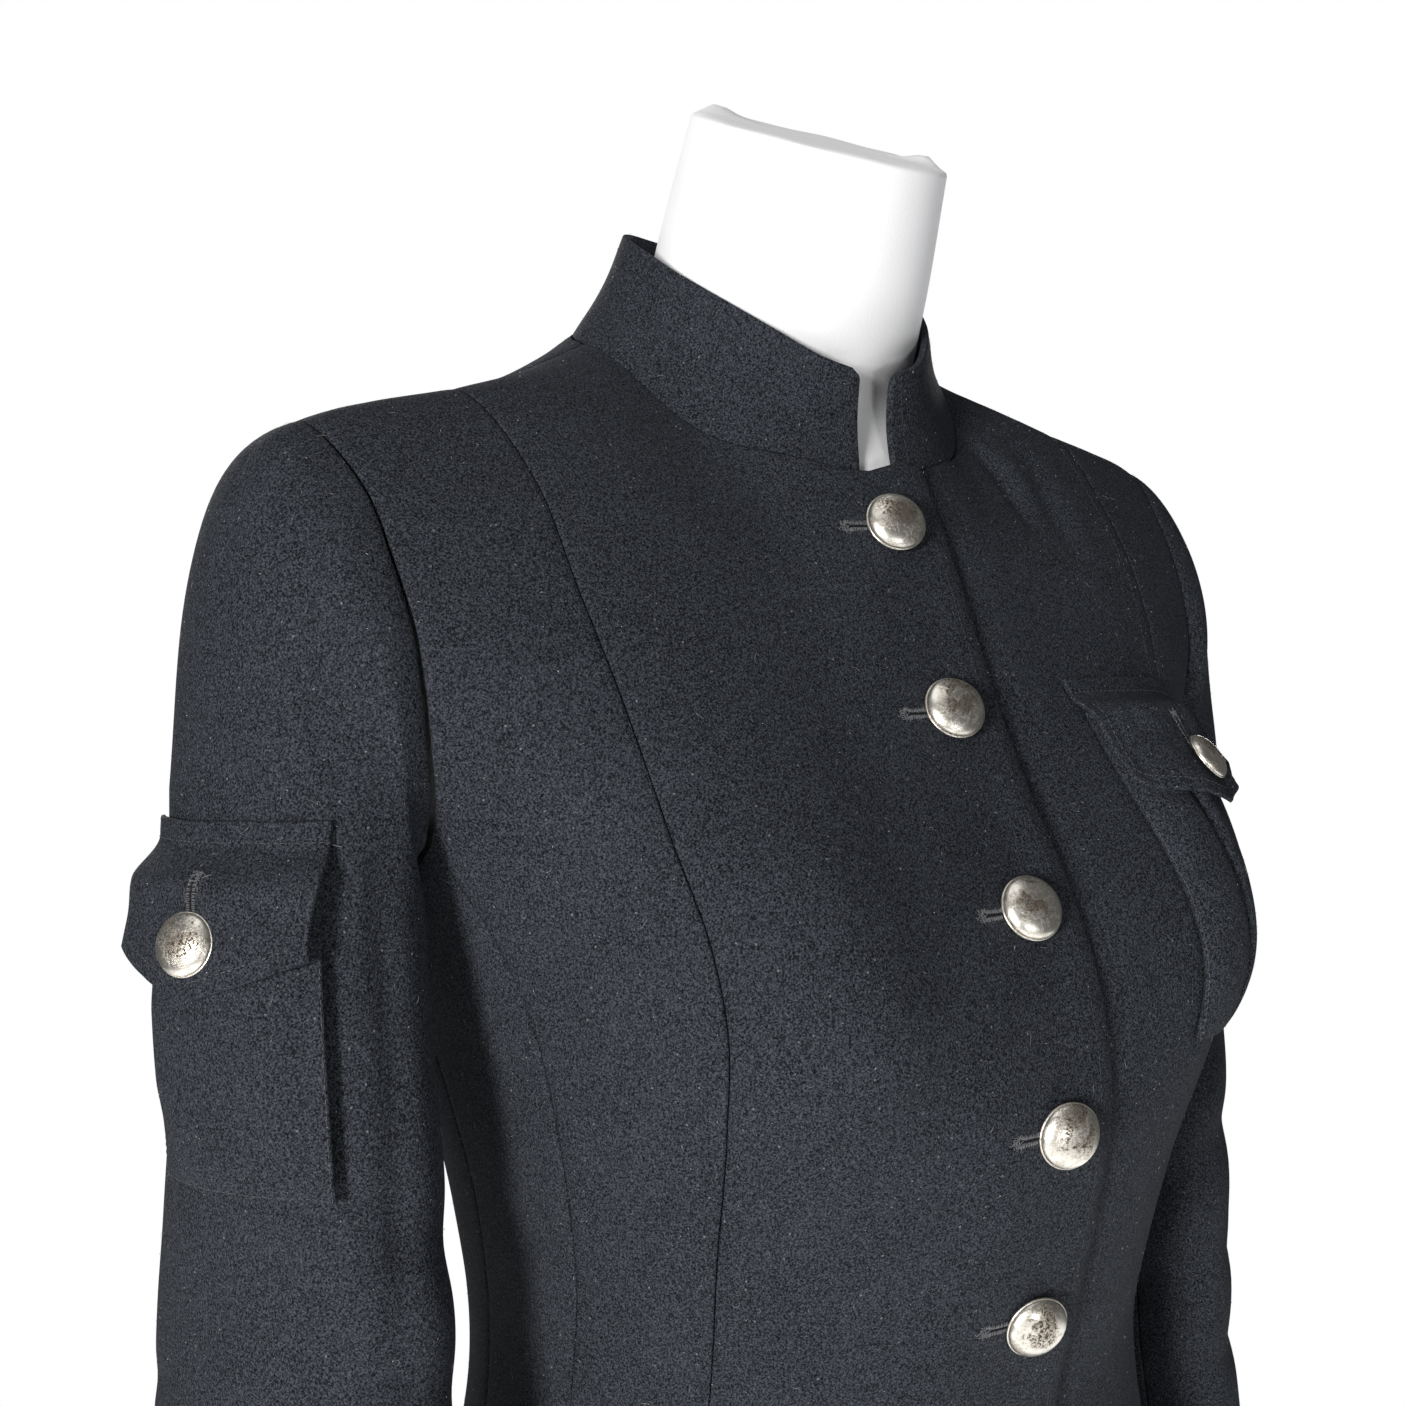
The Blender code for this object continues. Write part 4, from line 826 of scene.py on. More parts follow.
@dataclass
class StandCollar:
    """The stand collar, open at the centre front, with rounded front corners."""

    body: Body
    cloth: Cloth
    thickness: float = 0.0030
    first_angle: float = 6.0
    top_half_width: float = 0.061
    top_front: float = -0.0570
    top_back: float = 0.050
    top_centre: float = 0.006
    # Angle from the centre front, height of the top edge
    top_heights: Rows = (
        (0.0, 1.3800),
        (20.0, 1.3870),
        (41.0, 1.3990),
        (55.0, 1.4085),
        (70.0, 1.4190),
        (90.0, 1.4328),
        (108.0, 1.4395),
        (125.0, 1.4438),
        (180.0, 1.4460),
    )
    corner: float = 0.0045
    right_lean: float = 0.0015
    seam_reach: float = 0.0001
    end_spread: float = 17.0
    flare: float = 0.0022

    def build(self) -> None:
        """Make the collar from its right front end round the neck to its left one."""
        last = 360.0 - self.first_angle
        angles = self.first_angle + (last - self.first_angle) * edged(0.42, self.cloth.step)
        from_front = np.minimum(angles, 360.0 - angles)
        base = self.body.neckline(from_front)
        base[:, 0] = np.abs(base[:, 0]) * np.where(angles > 180.0, -1.0, 1.0)
        turn = np.radians(angles)
        front = self.top_centre - self.top_front
        back = self.top_back - self.top_centre
        reach = np.where(np.cos(turn) > 0.0, front, back)
        top = np.stack([self.top_half_width * np.sin(turn), self.top_centre - reach * np.cos(turn),
                        column(self.top_heights, from_front, 1)], axis=-1)
        height = top[:, 2] - base[:, 2]
        near_end = np.exp(-((from_front - self.first_angle) / self.end_spread) ** 2)
        lean = np.where(base[:, 0] < 0.0, self.right_lean, 0.0)
        top[:, 0] += (base[:, 0] + lean - top[:, 0]) * near_end
        run = run_of(base)
        short = np.clip(1.0 - np.minimum(run, run[-1] - run) / self.corner, 0.0, 1.0)
        cut = self.corner * (1.0 - np.sqrt(1.0 - short ** 2)) / height
        share = edged(0.038, self.cloth.step)[:, None] * (1.0 - cut)
        rise = unit(top - base)
        outward = unit(np.cross(unit(np.gradient(base, run, axis=0)), rise))
        outward *= np.sign(np.sum(outward * (base - [0.0, self.body.neck_centre, 0.0]),
                                  axis=-1))[:, None]
        flare = self.flare * np.sin(math.pi * share)
        outer = (base + (top - base) * share[..., None] - outward * flare[..., None]
                 - rise * self.seam_reach * (1.0 - share[..., None]))
        self.cloth.make("collar", outer, np.broadcast_to(outward, outer.shape), self.thickness,
                        "draped", ["left_back", "right_back", "left_front", "right_front"])


@dataclass
class Sleeves:
    """The two-piece sleeves: a cap that rises to the armhole and a flat hanging tube."""

    body: Body
    cloth: Cloth
    folds: tuple[Fold, ...] = ()
    # Height, centre out, centre front (-) to back (+), half thickness, half breadth
    sections: Rows = (
        (0.757, 0.2160, -0.0200, 0.0290, 0.0460),
        (0.860, 0.2145, -0.0090, 0.0300, 0.0500),
        (0.930, 0.2105, -0.0010, 0.0310, 0.0550),
        (0.980, 0.2080, 0.0035, 0.0325, 0.0590),
        (1.030, 0.2062, 0.0050, 0.0330, 0.0615),
        (1.075, 0.2045, 0.0030, 0.0330, 0.0600),
        (1.105, 0.2042, 0.0005, 0.0330, 0.0560),
        (1.135, 0.2045, -0.0020, 0.0330, 0.0520),
        (1.170, 0.2055, -0.0038, 0.0330, 0.0485),
        (1.210, 0.2050, -0.0045, 0.0330, 0.0468),
        (1.255, 0.2015, -0.0030, 0.0335, 0.0475),
    )
    turn_degrees: float = 18.0
    # Height, angle, rise, half height, half spread of angle
    soft_folds: Rows = (
        (1.105, 95.0, -0.0030, 0.013, 48.0),
        (1.062, 75.0, -0.0035, 0.012, 55.0),
        (1.010, 105.0, -0.0030, 0.014, 50.0),
        (0.965, 80.0, -0.0025, 0.013, 55.0),
    )
    cuff_height: float = 0.757
    cap_outer: float = 1.255
    cap_inner: float = 1.172
    front_seam: float = 140.0
    back_seam: float = 250.0
    cap_reach: tuple[float, float] = (0.022, 0.010)
    cap_lift: tuple[float, float] = (42.0, 37.0)
    cap_drop: tuple[float, float] = (0.0335, 0.0215)
    cap_lean: float = 0.0075

    def tube(self, angle: Array, height: Array) -> Array:
        """Find points of the left sleeve below its cap.

        The angle is 0 on the outer side, 90 degrees at the front and 180 beside the body. Each
        height has an ellipse, turned so that its front edge lies nearer the body.
        """
        thick = column(self.sections, height, 3)
        broad = column(self.sections, height, 4)
        fold = np.zeros(np.shape(height))
        for fold_height, fold_angle, rise, spread, turn_spread in self.soft_folds:
            turn = (np.degrees(angle) - fold_angle + 180.0) % 360.0 - 180.0
            lean = 0.00025 * turn
            shape = ((height - fold_height + lean) / spread) ** 2 + (turn / turn_spread) ** 2
            fold = fold + rise * np.exp(-shape)
        thick = (thick + fold) * np.cos(angle)
        broad = (broad + fold) * np.sin(angle)
        turn = math.radians(self.turn_degrees)
        return np.stack([
            column(self.sections, height, 1) + thick * math.cos(turn) - broad * math.sin(turn),
            column(self.sections, height, 2) - thick * math.sin(turn) - broad * math.cos(turn),
            height], axis=-1)

    def tube_normal(self, angle: Array, height: Array) -> Array:
        """Find the outward normals of the tube."""
        around = self.tube(angle + 0.01, height) - self.tube(angle - 0.01, height)
        along = self.tube(angle, height + 0.002) - self.tube(angle, height - 0.002)
        return unit(np.cross(along, around))

    def angle_at(self, distance: Array, height: Array, centre: float) -> Array:
        """Turn distances round the arm from a centre line into angles.

        Each point's ring is measured in small steps, and the angle is read where the length run
        from the centre line reaches the distance.
        """
        fine = np.radians(np.linspace(-100.0, 110.0, 211))
        level = np.broadcast_to(height[..., None], height.shape + fine.shape)
        ring = self.tube(np.broadcast_to(fine, level.shape), level)
        run = run_of(ring)
        centre_at = int(np.argmin(np.abs(fine - math.radians(centre))))
        rest = run - run[..., centre_at:centre_at + 1] - distance[..., None]
        below = np.clip((rest < 0.0).sum(axis=-1) - 1, 0, len(fine) - 2)[..., None]
        low = np.take_along_axis(rest, below, axis=-1)
        high = np.take_along_axis(rest, below + 1, axis=-1)
        part = np.clip(low / (low - high), 0.0, 1.0)[..., 0]
        return fine[below[..., 0]] + (fine[1] - fine[0]) * part

    def cap(self, loop: Array, angle: Array, end_height: Array) -> tuple[Array, Array]:
        """Run a cubic Bezier curve from each armhole point outwards and down into the tube.

        Args:
            loop: Points round the armhole.
            angle: The tube's angle below each of them.
            end_height: The height where each curve ends.

        Returns:
            The cap's points, and the directions in which it leaves the armhole.
        """
        tangent = unit(np.roll(loop, -1, axis=0) - np.roll(loop, 1, axis=0))
        normal = self.body.torso.normals(loop)
        onward = unit(np.cross(tangent, normal))
        onward *= np.sign(onward[:, :1])
        start = loop + onward * self.cloth.seam_gap
        turn = np.cos(angle)
        lift = np.radians(self.cap_lift[0] - self.cap_lift[1] * turn)[:, None]
        reach = (self.cap_reach[0] + self.cap_reach[1] * turn)[:, None]
        first = start + reach * (onward * np.cos(lift) + normal * np.sin(lift))
        end = self.tube(angle, end_height)
        second = end.copy()
        second[:, 0] -= self.cap_lean * 0.5 * (1.0 + turn)
        second[:, 2] += self.cap_drop[0] + self.cap_drop[1] * turn
        part = edged(0.12, 0.0035)[:, None, None]
        rest = 1.0 - part
        cap = (rest ** 3 * start + 3.0 * rest ** 2 * part * first
               + 3.0 * rest * part ** 2 * second + part ** 3 * end)
        return cap[:-4], onward

    def grid(self) -> tuple[Array, Array, Array]:
        """Work out the left sleeve's outer points, their normals and their angles."""
        shares = np.linspace(0.0, 1.0, int(0.44 / self.cloth.step) + 1)[:-1]
        loop = read_at(self.body.armhole_loop(), shares)
        bottom = float(shares[int(np.argmin(loop[:, 2]))])
        angle = np.interp(shares, [0.0, bottom, 1.0], [0.0, math.pi, 2.0 * math.pi])
        outer_share = 0.5 * (1.0 + np.cos(angle))
        end_height = self.cap_inner + (self.cap_outer - self.cap_inner) * outer_share
        cap, onward = self.cap(loop, angle, end_height)
        down = np.concatenate([[[0.0]], edged(0.46, self.cloth.step)[4:, None]])
        heights = end_height + (self.cuff_height - end_height) * down
        tube = self.tube(np.broadcast_to(angle, heights.shape), heights)
        grid = np.concatenate([cap, tube])
        outward = grid_normals(grid, closed=True)
        centre = grid.mean(axis=1, keepdims=True)
        outward *= np.sign(np.sum(outward * (grid - centre), axis=(1, 2)))[:, None, None]
        # The first rows' normals turn to lie across the armhole's own direction
        rows = 6
        lean = np.maximum(np.sum(outward[:rows] * onward, axis=-1), 0.0)
        fade = np.linspace(1.0, 0.0, rows)[:, None]
        outward[:rows] = unit(outward[:rows] - (lean * fade)[..., None] * onward)
        return grid, outward, np.degrees(angle)

    def build(self) -> None:
        """Make the top and the under sleeve of each side."""
        grid, outward, angle = self.grid()
        count = len(angle)
        front = int(np.argmin(np.abs(angle - self.front_seam)))
        back = int(np.argmin(np.abs(angle - self.back_seam)))
        pieces = {
            "top_sleeve": np.arange(back, count + front + 1) % count,
            "under_sleeve": np.arange(front, back + 1),
        }
        for side in Side:
            for piece, columns in pieces.items():
                outer = self.cloth.draw_in(self.with_close_edges(grid[:, columns]), ends=False)
                normal = unit(self.with_close_edges(outward[:, columns]))
                facing = self.cloth.hang.turn(normal, side)
                placed = folded(self.cloth.hang.place(outer, side), facing, self.folds)
                self.cloth.make(f"{side.word}_{piece}", placed, facing, self.cloth.thickness,
                                "hung", [f"{side.word}_side_front", f"{side.word}_back"])

    def with_close_edges(self, grid: Array) -> Array:
        """Add three columns close to each side edge of a grid, for its rounding."""
        shares = np.array([0.07, 0.18, 0.42])[None, :, None]
        first = grid[:, :1] + (grid[:, 1:2] - grid[:, :1]) * shares
        last = grid[:, -1:] + (grid[:, -2:-1] - grid[:, -1:]) * shares[:, ::-1]
        return np.concatenate([grid[:, :1], first, grid[:, 1:-1], last, grid[:, -1:]], axis=1)


@dataclass(frozen=True)
class PocketCut:
    """The sizes of one patch pocket and of the pointed flap above it."""

    word: str
    side: Side
    half: float
    pocket_top: float
    bottom: float
    flap_half: float
    flap_top: float
    flap_side: float
    flap_point: float
    button_height: float
    fullness: float
    pleat: float
    strip: float


@dataclass
class PatchPocket:
    """A full patch pocket, its flap with a pressed strip along the top, and a button's seat."""

    cut: PocketCut
    cloth: Cloth
    surface: Callable[[Array, Array], tuple[Array, Array]]
    rests_on: tuple[str, ...]
    pocket_folds: tuple[Fold, ...] = ()
    flap_folds: tuple[Fold, ...] = ()
    open_side: float = 0.0
    taper: float = 0.14
    curl: float = 0.0
    # Share of the pocket's half width up to which the flap follows its swell
    follow: float = 0.55
    corner: float = 0.0
    thickness: float = 0.0017
    seat: float = 0.0011
    flap_gap: float = 0.0013
    stand_off: float = 0.0040
    pleat_half: float = 0.013
    # The groove beside the pleat: depth, spread
    groove: tuple[float, float] = (0.0046, 0.0013)
    # The dent under the button: depth, spread
    dent: tuple[float, float] = (0.0012, 0.011)
    # The roll below the pressed strip: height, distance from the strip, spread
    strip_roll: tuple[float, float, float] = (0.0010, 0.011, 0.006)
    open_spread: float = 0.0045
    bend_start: float = 0.84
    point_power: float = 1.15

    def swell(self, across: Array, down: Array) -> Array:
        """Swell the pocket: flat along its seams, fuller inside than at its mouth."""
        mouth = 0.6 + 0.4 * ease(down / 0.35)
        return (1.0 - across ** 4) * (1.0 - np.clip(down, 0.0, 1.0) ** 5) * mouth

    def flat_folds(self, folds: Sequence[Fold], out: Array, height: Array) -> Array:
        """Add up folds whose lines are drawn on the flat pocket: across it, and by height."""
        flat = np.stack([out, np.zeros(np.shape(out)), height], axis=-1)
        return sum((fold.lift_of(flat) for fold in folds), np.zeros(np.shape(out)))

    def lay(self, node: str, points: Array, normal: Array, offset: Array) -> None:
        """Lay a piece at offsets over its ground and make it."""
        outer = points + normal * (offset + self.thickness)[..., None]
        placed = self.cloth.hang.place(outer, self.cut.side)
        away = grid_normals(outer)
        away = away * np.sign(np.sum(away * normal, axis=-1, keepdims=True))
        facing = self.cloth.hang.turn(away, self.cut.side)
        self.cloth.make(node, placed, facing, self.thickness, "laid", self.rests_on)

    def build(self) -> tuple[Array, Array]:
        """Make the pocket and its flap.

        Returns:
            The point where the flap's button sits and the direction that it faces.
        """
        self.build_pocket()
        return self.build_flap()

    def build_pocket(self) -> None:
        """Make the pocket: a swell with soft folds, a pleat with its grooves and an open side."""
        cut = self.cut
        across, down = np.meshgrid(edged(2.0 * cut.half, 0.0016) * 2.0 - 1.0,
                                   edged(cut.pocket_top - cut.bottom, 0.0018))
        out = across * cut.half
        height = cut.pocket_top + (cut.bottom - cut.pocket_top) * down
        points, normal = self.surface(out, height)
        beyond = np.abs(out) - 0.6 * self.pleat_half
        fold = cut.pleat * (1.0 - ease(beyond / (0.5 * self.pleat_half)))
        swell = cut.fullness * self.swell(across, down) + fold * (1.0 - down ** 6)
        if cut.pleat > 0.0:
            depth, spread = self.groove
            groove = depth * np.exp(-((np.abs(out) - self.pleat_half) / spread) ** 2)
            swell = swell - groove * (1.0 - down ** 8)
        swell = swell + self.flat_folds(self.pocket_folds, out, height)
        front = np.exp(-(((1.0 - across) * cut.half) / self.open_spread) ** 2)
        swell = np.maximum(swell, 0.0) + self.open_side * front * ease(down / 0.4)
        self.lay(cut.word + "_pocket", points, normal, self.seat + swell)

    def build_flap(self) -> tuple[Array, Array]:
        """Make the flap over the pocket and find its button's seat."""
        cut = self.cut
        wide = edged(2.0 * cut.flap_half, 0.0014) * 2.0 - 1.0
        across, down = np.meshgrid(wide, edged(cut.flap_top - cut.flap_point, 0.0013))
        out = across * cut.flap_half
        point = 1.0 - np.abs(across) ** self.point_power
        low = cut.flap_side + (cut.flap_point - cut.flap_side) * point
        bend = np.clip((np.abs(across) - self.bend_start) / (1.0 - self.bend_start), 0.0, 1.0)
        low = low + self.corner * (1.0 - np.sqrt(1.0 - bend ** 2))
        height = cut.flap_top + (low - cut.flap_top) * down
        points, normal = self.surface(out * (1.0 - self.taper * ease(down * 1.1)), height)
        depth = np.clip((cut.pocket_top - height) / (cut.pocket_top - cut.bottom), 0.0, 1.0)
        share = np.clip(np.abs(out) / cut.half, 0.0, 1.0)
        on_pleat = 1.0 - ease((share * cut.half - self.pleat_half) / 0.012)
        under = (cut.fullness * self.swell(np.minimum(share, self.follow), depth)
                 + cut.pleat * on_pleat)
        below = cut.flap_top - height - cut.strip
        over = ease((below + 0.004) / 0.013)
        stand = self.seat + over * (under + self.thickness + self.flap_gap
                                    + self.stand_off * down ** 2)
        stand = stand + self.curl * ease((across - 0.1) / 0.9) * down ** 2
        dent, spread = self.dent
        button = (out ** 2 + (height - cut.button_height) ** 2) / spread ** 2
        roll, roll_place, roll_spread = self.strip_roll
        stand = (stand - dent * np.exp(-button)
                 + roll * np.exp(-((below - roll_place) / roll_spread) ** 2))
        stand = stand + self.flat_folds(self.flap_folds, out, height)
        self.lay(cut.word + "_pocket_flap", points, normal, stand)
        middle = len(wide) // 2
        row = int(np.argmin(np.abs(height[:, middle] - cut.button_height)))
        skin = self.cloth.skins[cut.word + "_pocket_flap"]
        return skin.grid[row, middle], skin.normal[row, middle]


@dataclass
class Buttons:
    """The domed shank buttons of the front and of the two pocket flaps."""

    torso: TorsoShape
    finish: bpy.types.Material
    line: float = -0.0058
    heights: tuple[float, ...] = (1.3235, 1.2574, 1.1916, 1.1219, 1.0559, 0.9895)
    front_radius: float = 0.01125
    pocket_radius: float = 0.00975
    front_gap: float = 0.0018
    pocket_gap: float = 0.0006
    front_lean: float = -0.28
    pocket_leans: tuple[float, float] = (0.24, 0.06)
    overlap_lift: float = 0.0026
    seats: list[tuple[Array, Array]] = field(default_factory=list)

    def profile(self, radius: float) -> Rows:
        """Shape a dome with a rolled rim, a flat back and a short shank, from top to bottom."""
        turn = np.radians(np.linspace(0.0, 86.0, 26))
        dome = np.stack([radius * 0.965 * np.sin(turn), radius * (0.19 + 0.42 * np.cos(turn))], -1)
        curl = np.radians(np.linspace(112.0, -75.0, 10))
        rim = np.stack([radius * (0.972 + 0.028 * np.cos(curl)),
                        radius * (0.166 + 0.040 * np.sin(curl))], -1)
        low = np.array([(0.90, 0.115), (0.55, 0.105), (0.32, 0.10), (0.30, 0.02), (0.26, 0.0),
                        (0.0, 0.0)]) * radius
        dome[0, 0] = 0.0
        return tuple(map(tuple, np.concatenate([dome, rim, low])))

    def add(self, node: str, radius: float, seat: Array, normal: Array, lean: float,
            gap: float) -> None:
        """Seat a button on the cloth; its shank lets the dome lean round the upright."""
        facing = Vector(normal)
        facing.rotate(Quaternion((0.0, 0.0, 1.0), lean))
        turn = facing.to_track_quat("Z", "Y").to_matrix().to_4x4()
        place = Matrix.Translation(Vector(seat) + Vector(normal) * gap) @ turn
        item = turned_object("dome_" + node, self.profile(radius), 64, place)
        points = np.array([vertex.co for vertex in item.data.vertices])
        local = (points - seat) @ np.array(turn.to_3x3())
        wear = item.data.attributes.new("place_on_dome", "FLOAT_VECTOR", "POINT")
        flat = local / radius * np.array([1.0, 1.0, 0.0])
        wear.data.foreach_set("vector", flat.astype(np.float32).ravel())
        dress(item, self.finish, node)
        LOG.info("%s: radius %.1f mm", node, radius * 1000.0)

    def build(self, pocket_seats: dict[str, tuple[Array, Array]]) -> None:
        """Make the front's buttons and those on the flaps."""
        for number, height in enumerate(self.heights, start=1):
            start = np.array([[self.line, 0.0, height]])
            point = self.torso.find(start, np.array([0.0, -1.0, 0.0]), self.torso.reach)
            normal = self.torso.normals(point)[0]
            seat = point[0] + normal * self.overlap_lift
            self.seats.append((seat, normal))
            self.add(f"button_{number}", self.front_radius, seat, normal, self.front_lean,
                     self.front_gap)
        for (node, (seat, normal)), lean in zip(pocket_seats.items(), self.pocket_leans):
            self.add(node, self.pocket_radius, seat, normal, lean, self.pocket_gap)


@dataclass
class Stitching:
    """Rows of short stitches and the worked buttonholes, seated on the finished cloth."""

    cloth: Cloth
    tonal: bpy.types.Material
    pale: bpy.types.Material
    # The slits' finish: painted shadow inside the cut
    worked: bpy.types.Material
    slit: bpy.types.Material
    stitch: float = 0.0015
    pause: float = 0.0008
    uneven: float = 0.04
    thread: float = 0.00014
    bow: float = 0.00010
    sink: float = 0.00004
    # Of a buttonhole: pitch and radius of its thread, and the slit's half width
    hole_pitch: float = 0.00052
    hole_thread: float = 0.00017
    slit_radius: float = 0.00040
    # Distances from the slit or the eyelet's middle where its stitches start and end
    row: tuple[float, float] = (0.00045, 0.0020)
    eyelet: tuple[float, float] = (0.0010, 0.0025)
    bar_place: float = 0.0022
    # Rows of stitches: node, edge, distance from it, shares of it where the row starts and ends
    front_rows: tuple[tuple, ...] = (
        ("right_front", "left", 0.0085, 0.0, 0.985),
        ("right_front", "right", 0.0085, 0.0, 0.93),
        ("left_front", "right", 0.0085, 0.0, 0.93),
    )
    collar_rows: tuple[tuple, ...] = (
        ("collar", "left", 0.0075, 0.03, 0.93),
        ("collar", "right", 0.0075, 0.03, 0.93),
        ("collar", "end", 0.0065, 0.03, 0.97),
    )
    patch_rows: tuple[tuple, ...] = (
        ("pocket", "end", 0.0017, 0.01, 0.99),
        ("pocket", "left", 0.0017, 0.30, 1.0),
        ("pocket", "right", 0.0017, 0.30, 1.0),
        ("pocket_flap", "start", 0.0070, 0.01, 0.99),
        ("pocket_flap", "end", 0.0058, 0.08, 0.92),
        ("pocket_flap", "left", 0.0055, 0.34, 0.86),
        ("pocket_flap", "right", 0.0055, 0.34, 0.86),
    )

    def along(self, line: Array, normal: Array) -> tuple[Array, Array, Array]:
        """Cut a line on the cloth into stitches, which lie a little unevenly.

        Args:
            line: Points of the line.
            normal: Their normals.

        Returns:
            Starts, ends and outward directions of the stitches.
        """
        run = run_of(line)
        pitch = self.stitch + self.pause
        count = max(int(run[-1] / pitch), 1)
        draw = np.random.default_rng(SEED + count)
        start = np.arange(count) * pitch + draw.normal(size=count) * self.uneven * self.stitch
        end = start + self.stitch * (1.0 + 0.12 * draw.normal(size=count))
        out = unit(read_run(run, normal, 0.5 * (start + end)))
        lift = out * (self.thread * 0.25 - self.sink)
        return read_run(run, line, start) + lift, read_run(run, line, end) + lift, out

    def sew(self, name: str, rows: Sequence[tuple[Array, Array]], finish: bpy.types.Material
            ) -> None:
        """Sew rows of stitches as one piece."""
        parts = [self.along(line, normal) for line, normal in rows]
        starts, ends, outs = (np.concatenate(part) for part in zip(*parts))
        dress(threads_object(name, starts, ends, outs, self.thread, self.bow), finish)
        LOG.info("%s: %d stitches", name, len(starts))

    def build_rows(self) -> None:
        """Sew the rows that show on the fronts, the collar and the pockets."""
        for name, word, rows, finish in (
                ("fronts", "", self.front_rows, self.tonal),
                ("collar", "", self.collar_rows, self.tonal),
                ("sleeve_pocket", "sleeve_", self.patch_rows, self.pale),
                ("chest_pocket", "chest_", self.patch_rows, self.pale)):
            lines = [self.cloth.skins[word + node].beside(*row) for node, *row in rows]
            self.sew("stitches_" + name, lines, finish)

    def buttonhole(self, name: str, skin: Skin, middle: Array, along: Array, first: float,
                   last: float) -> None:
        """Work a keyhole buttonhole: two rows of close stitches, an eyelet and a bar.

        Args:
            name: The name of the sewn piece.
            skin: The cloth that it is worked in.
            middle: The middle of the button.
            along: The direction of the slit, away from the button.
            first: Where the stitches start, from the button's middle.
            last: Where the eyelet's middle lies.
        """
        draw = np.random.default_rng(SEED + len(name))
        _, normal = skin.seat(middle[None])
        along = unit(along - normal[0] * (along @ normal[0]))
        beside = np.cross(normal[0], along)
        place = np.arange(first, last - 0.0008, self.hole_pitch)
        count = len(place)
        starts, ends = [], []
        for side in (-1.0, 1.0):
            reach = self.row[1] + 0.00022 * draw.normal(size=count)
            slant = 0.00018 * draw.normal(size=count)
            row = middle + along * place[:, None]
            starts.append(row + beside * (side * self.row[0]))
            ends.append(row + beside * (side * reach)[:, None] + along * slant[:, None])
        turn = np.linspace(-2.35, 2.35, 17)
        ray = along * np.cos(turn)[:, None] + beside * np.sin(turn)[:, None]
        eye = middle + along * last
        starts.append(eye + ray * self.eyelet[0])
        ends.append(eye + ray * (self.eyelet[1] + 0.00025 * draw.normal(size=17))[:, None])
        bar = eye + along * self.bar_place + beside * np.linspace(-0.0019, 0.0019, 7)[:, None]
        starts.append(bar - along * 0.0004)
        ends.append(bar + along * 0.0007)
        loose = draw.normal(size=(9, 2)) * 0.0016
        starts.append(eye + along * (0.0012 + loose[:, :1]) + beside * loose[:, 1:])
        bend = draw.normal(size=(9, 2)) * 0.0018
        ends.append(starts[-1] + along * bend[:, :1] + beside * bend[:, 1:])
        start, out = skin.seat(np.concatenate(starts))
        end, _ = skin.seat(np.concatenate(ends))
        lift = out * 0.00008
        hole = threads_object(name, start + lift, end + lift, out, self.hole_thread, 0.00016)
        dress(hole, self.worked)
        # The slit is a thin dark tube of painted shadow, laid in the cut
        cut, facing = skin.seat(middle + along * np.linspace(first, last, 6)[:, None])
        cut = cut - facing * 0.00002
        dark = threads_object(name + "_slit", cut[:-1], cut[1:], facing[1:], self.slit_radius,
                              0.0)
        dress(dark, self.slit)

    def build_holes(self, buttons: Buttons, pocket_seats: dict[str, tuple[Array, Array]]) -> None:
        """Work the holes of the front and of the two flaps."""
        front = self.cloth.skins["right_front"]
        for number, (seat, _) in enumerate(buttons.seats, start=1):
            self.buttonhole(f"buttonhole_{number}", front, seat, np.array([-1.0, 0.0, 0.02]),
                            0.0070, 0.0192)
        up = np.array([0.0, 0.0, 1.0])
        for word in ("sleeve", "chest"):
            self.buttonhole(f"buttonhole_{word}", self.cloth.skins[word + "_pocket_flap"],
                            pocket_seats[word + "_button"][0], up, 0.0060, 0.0188)


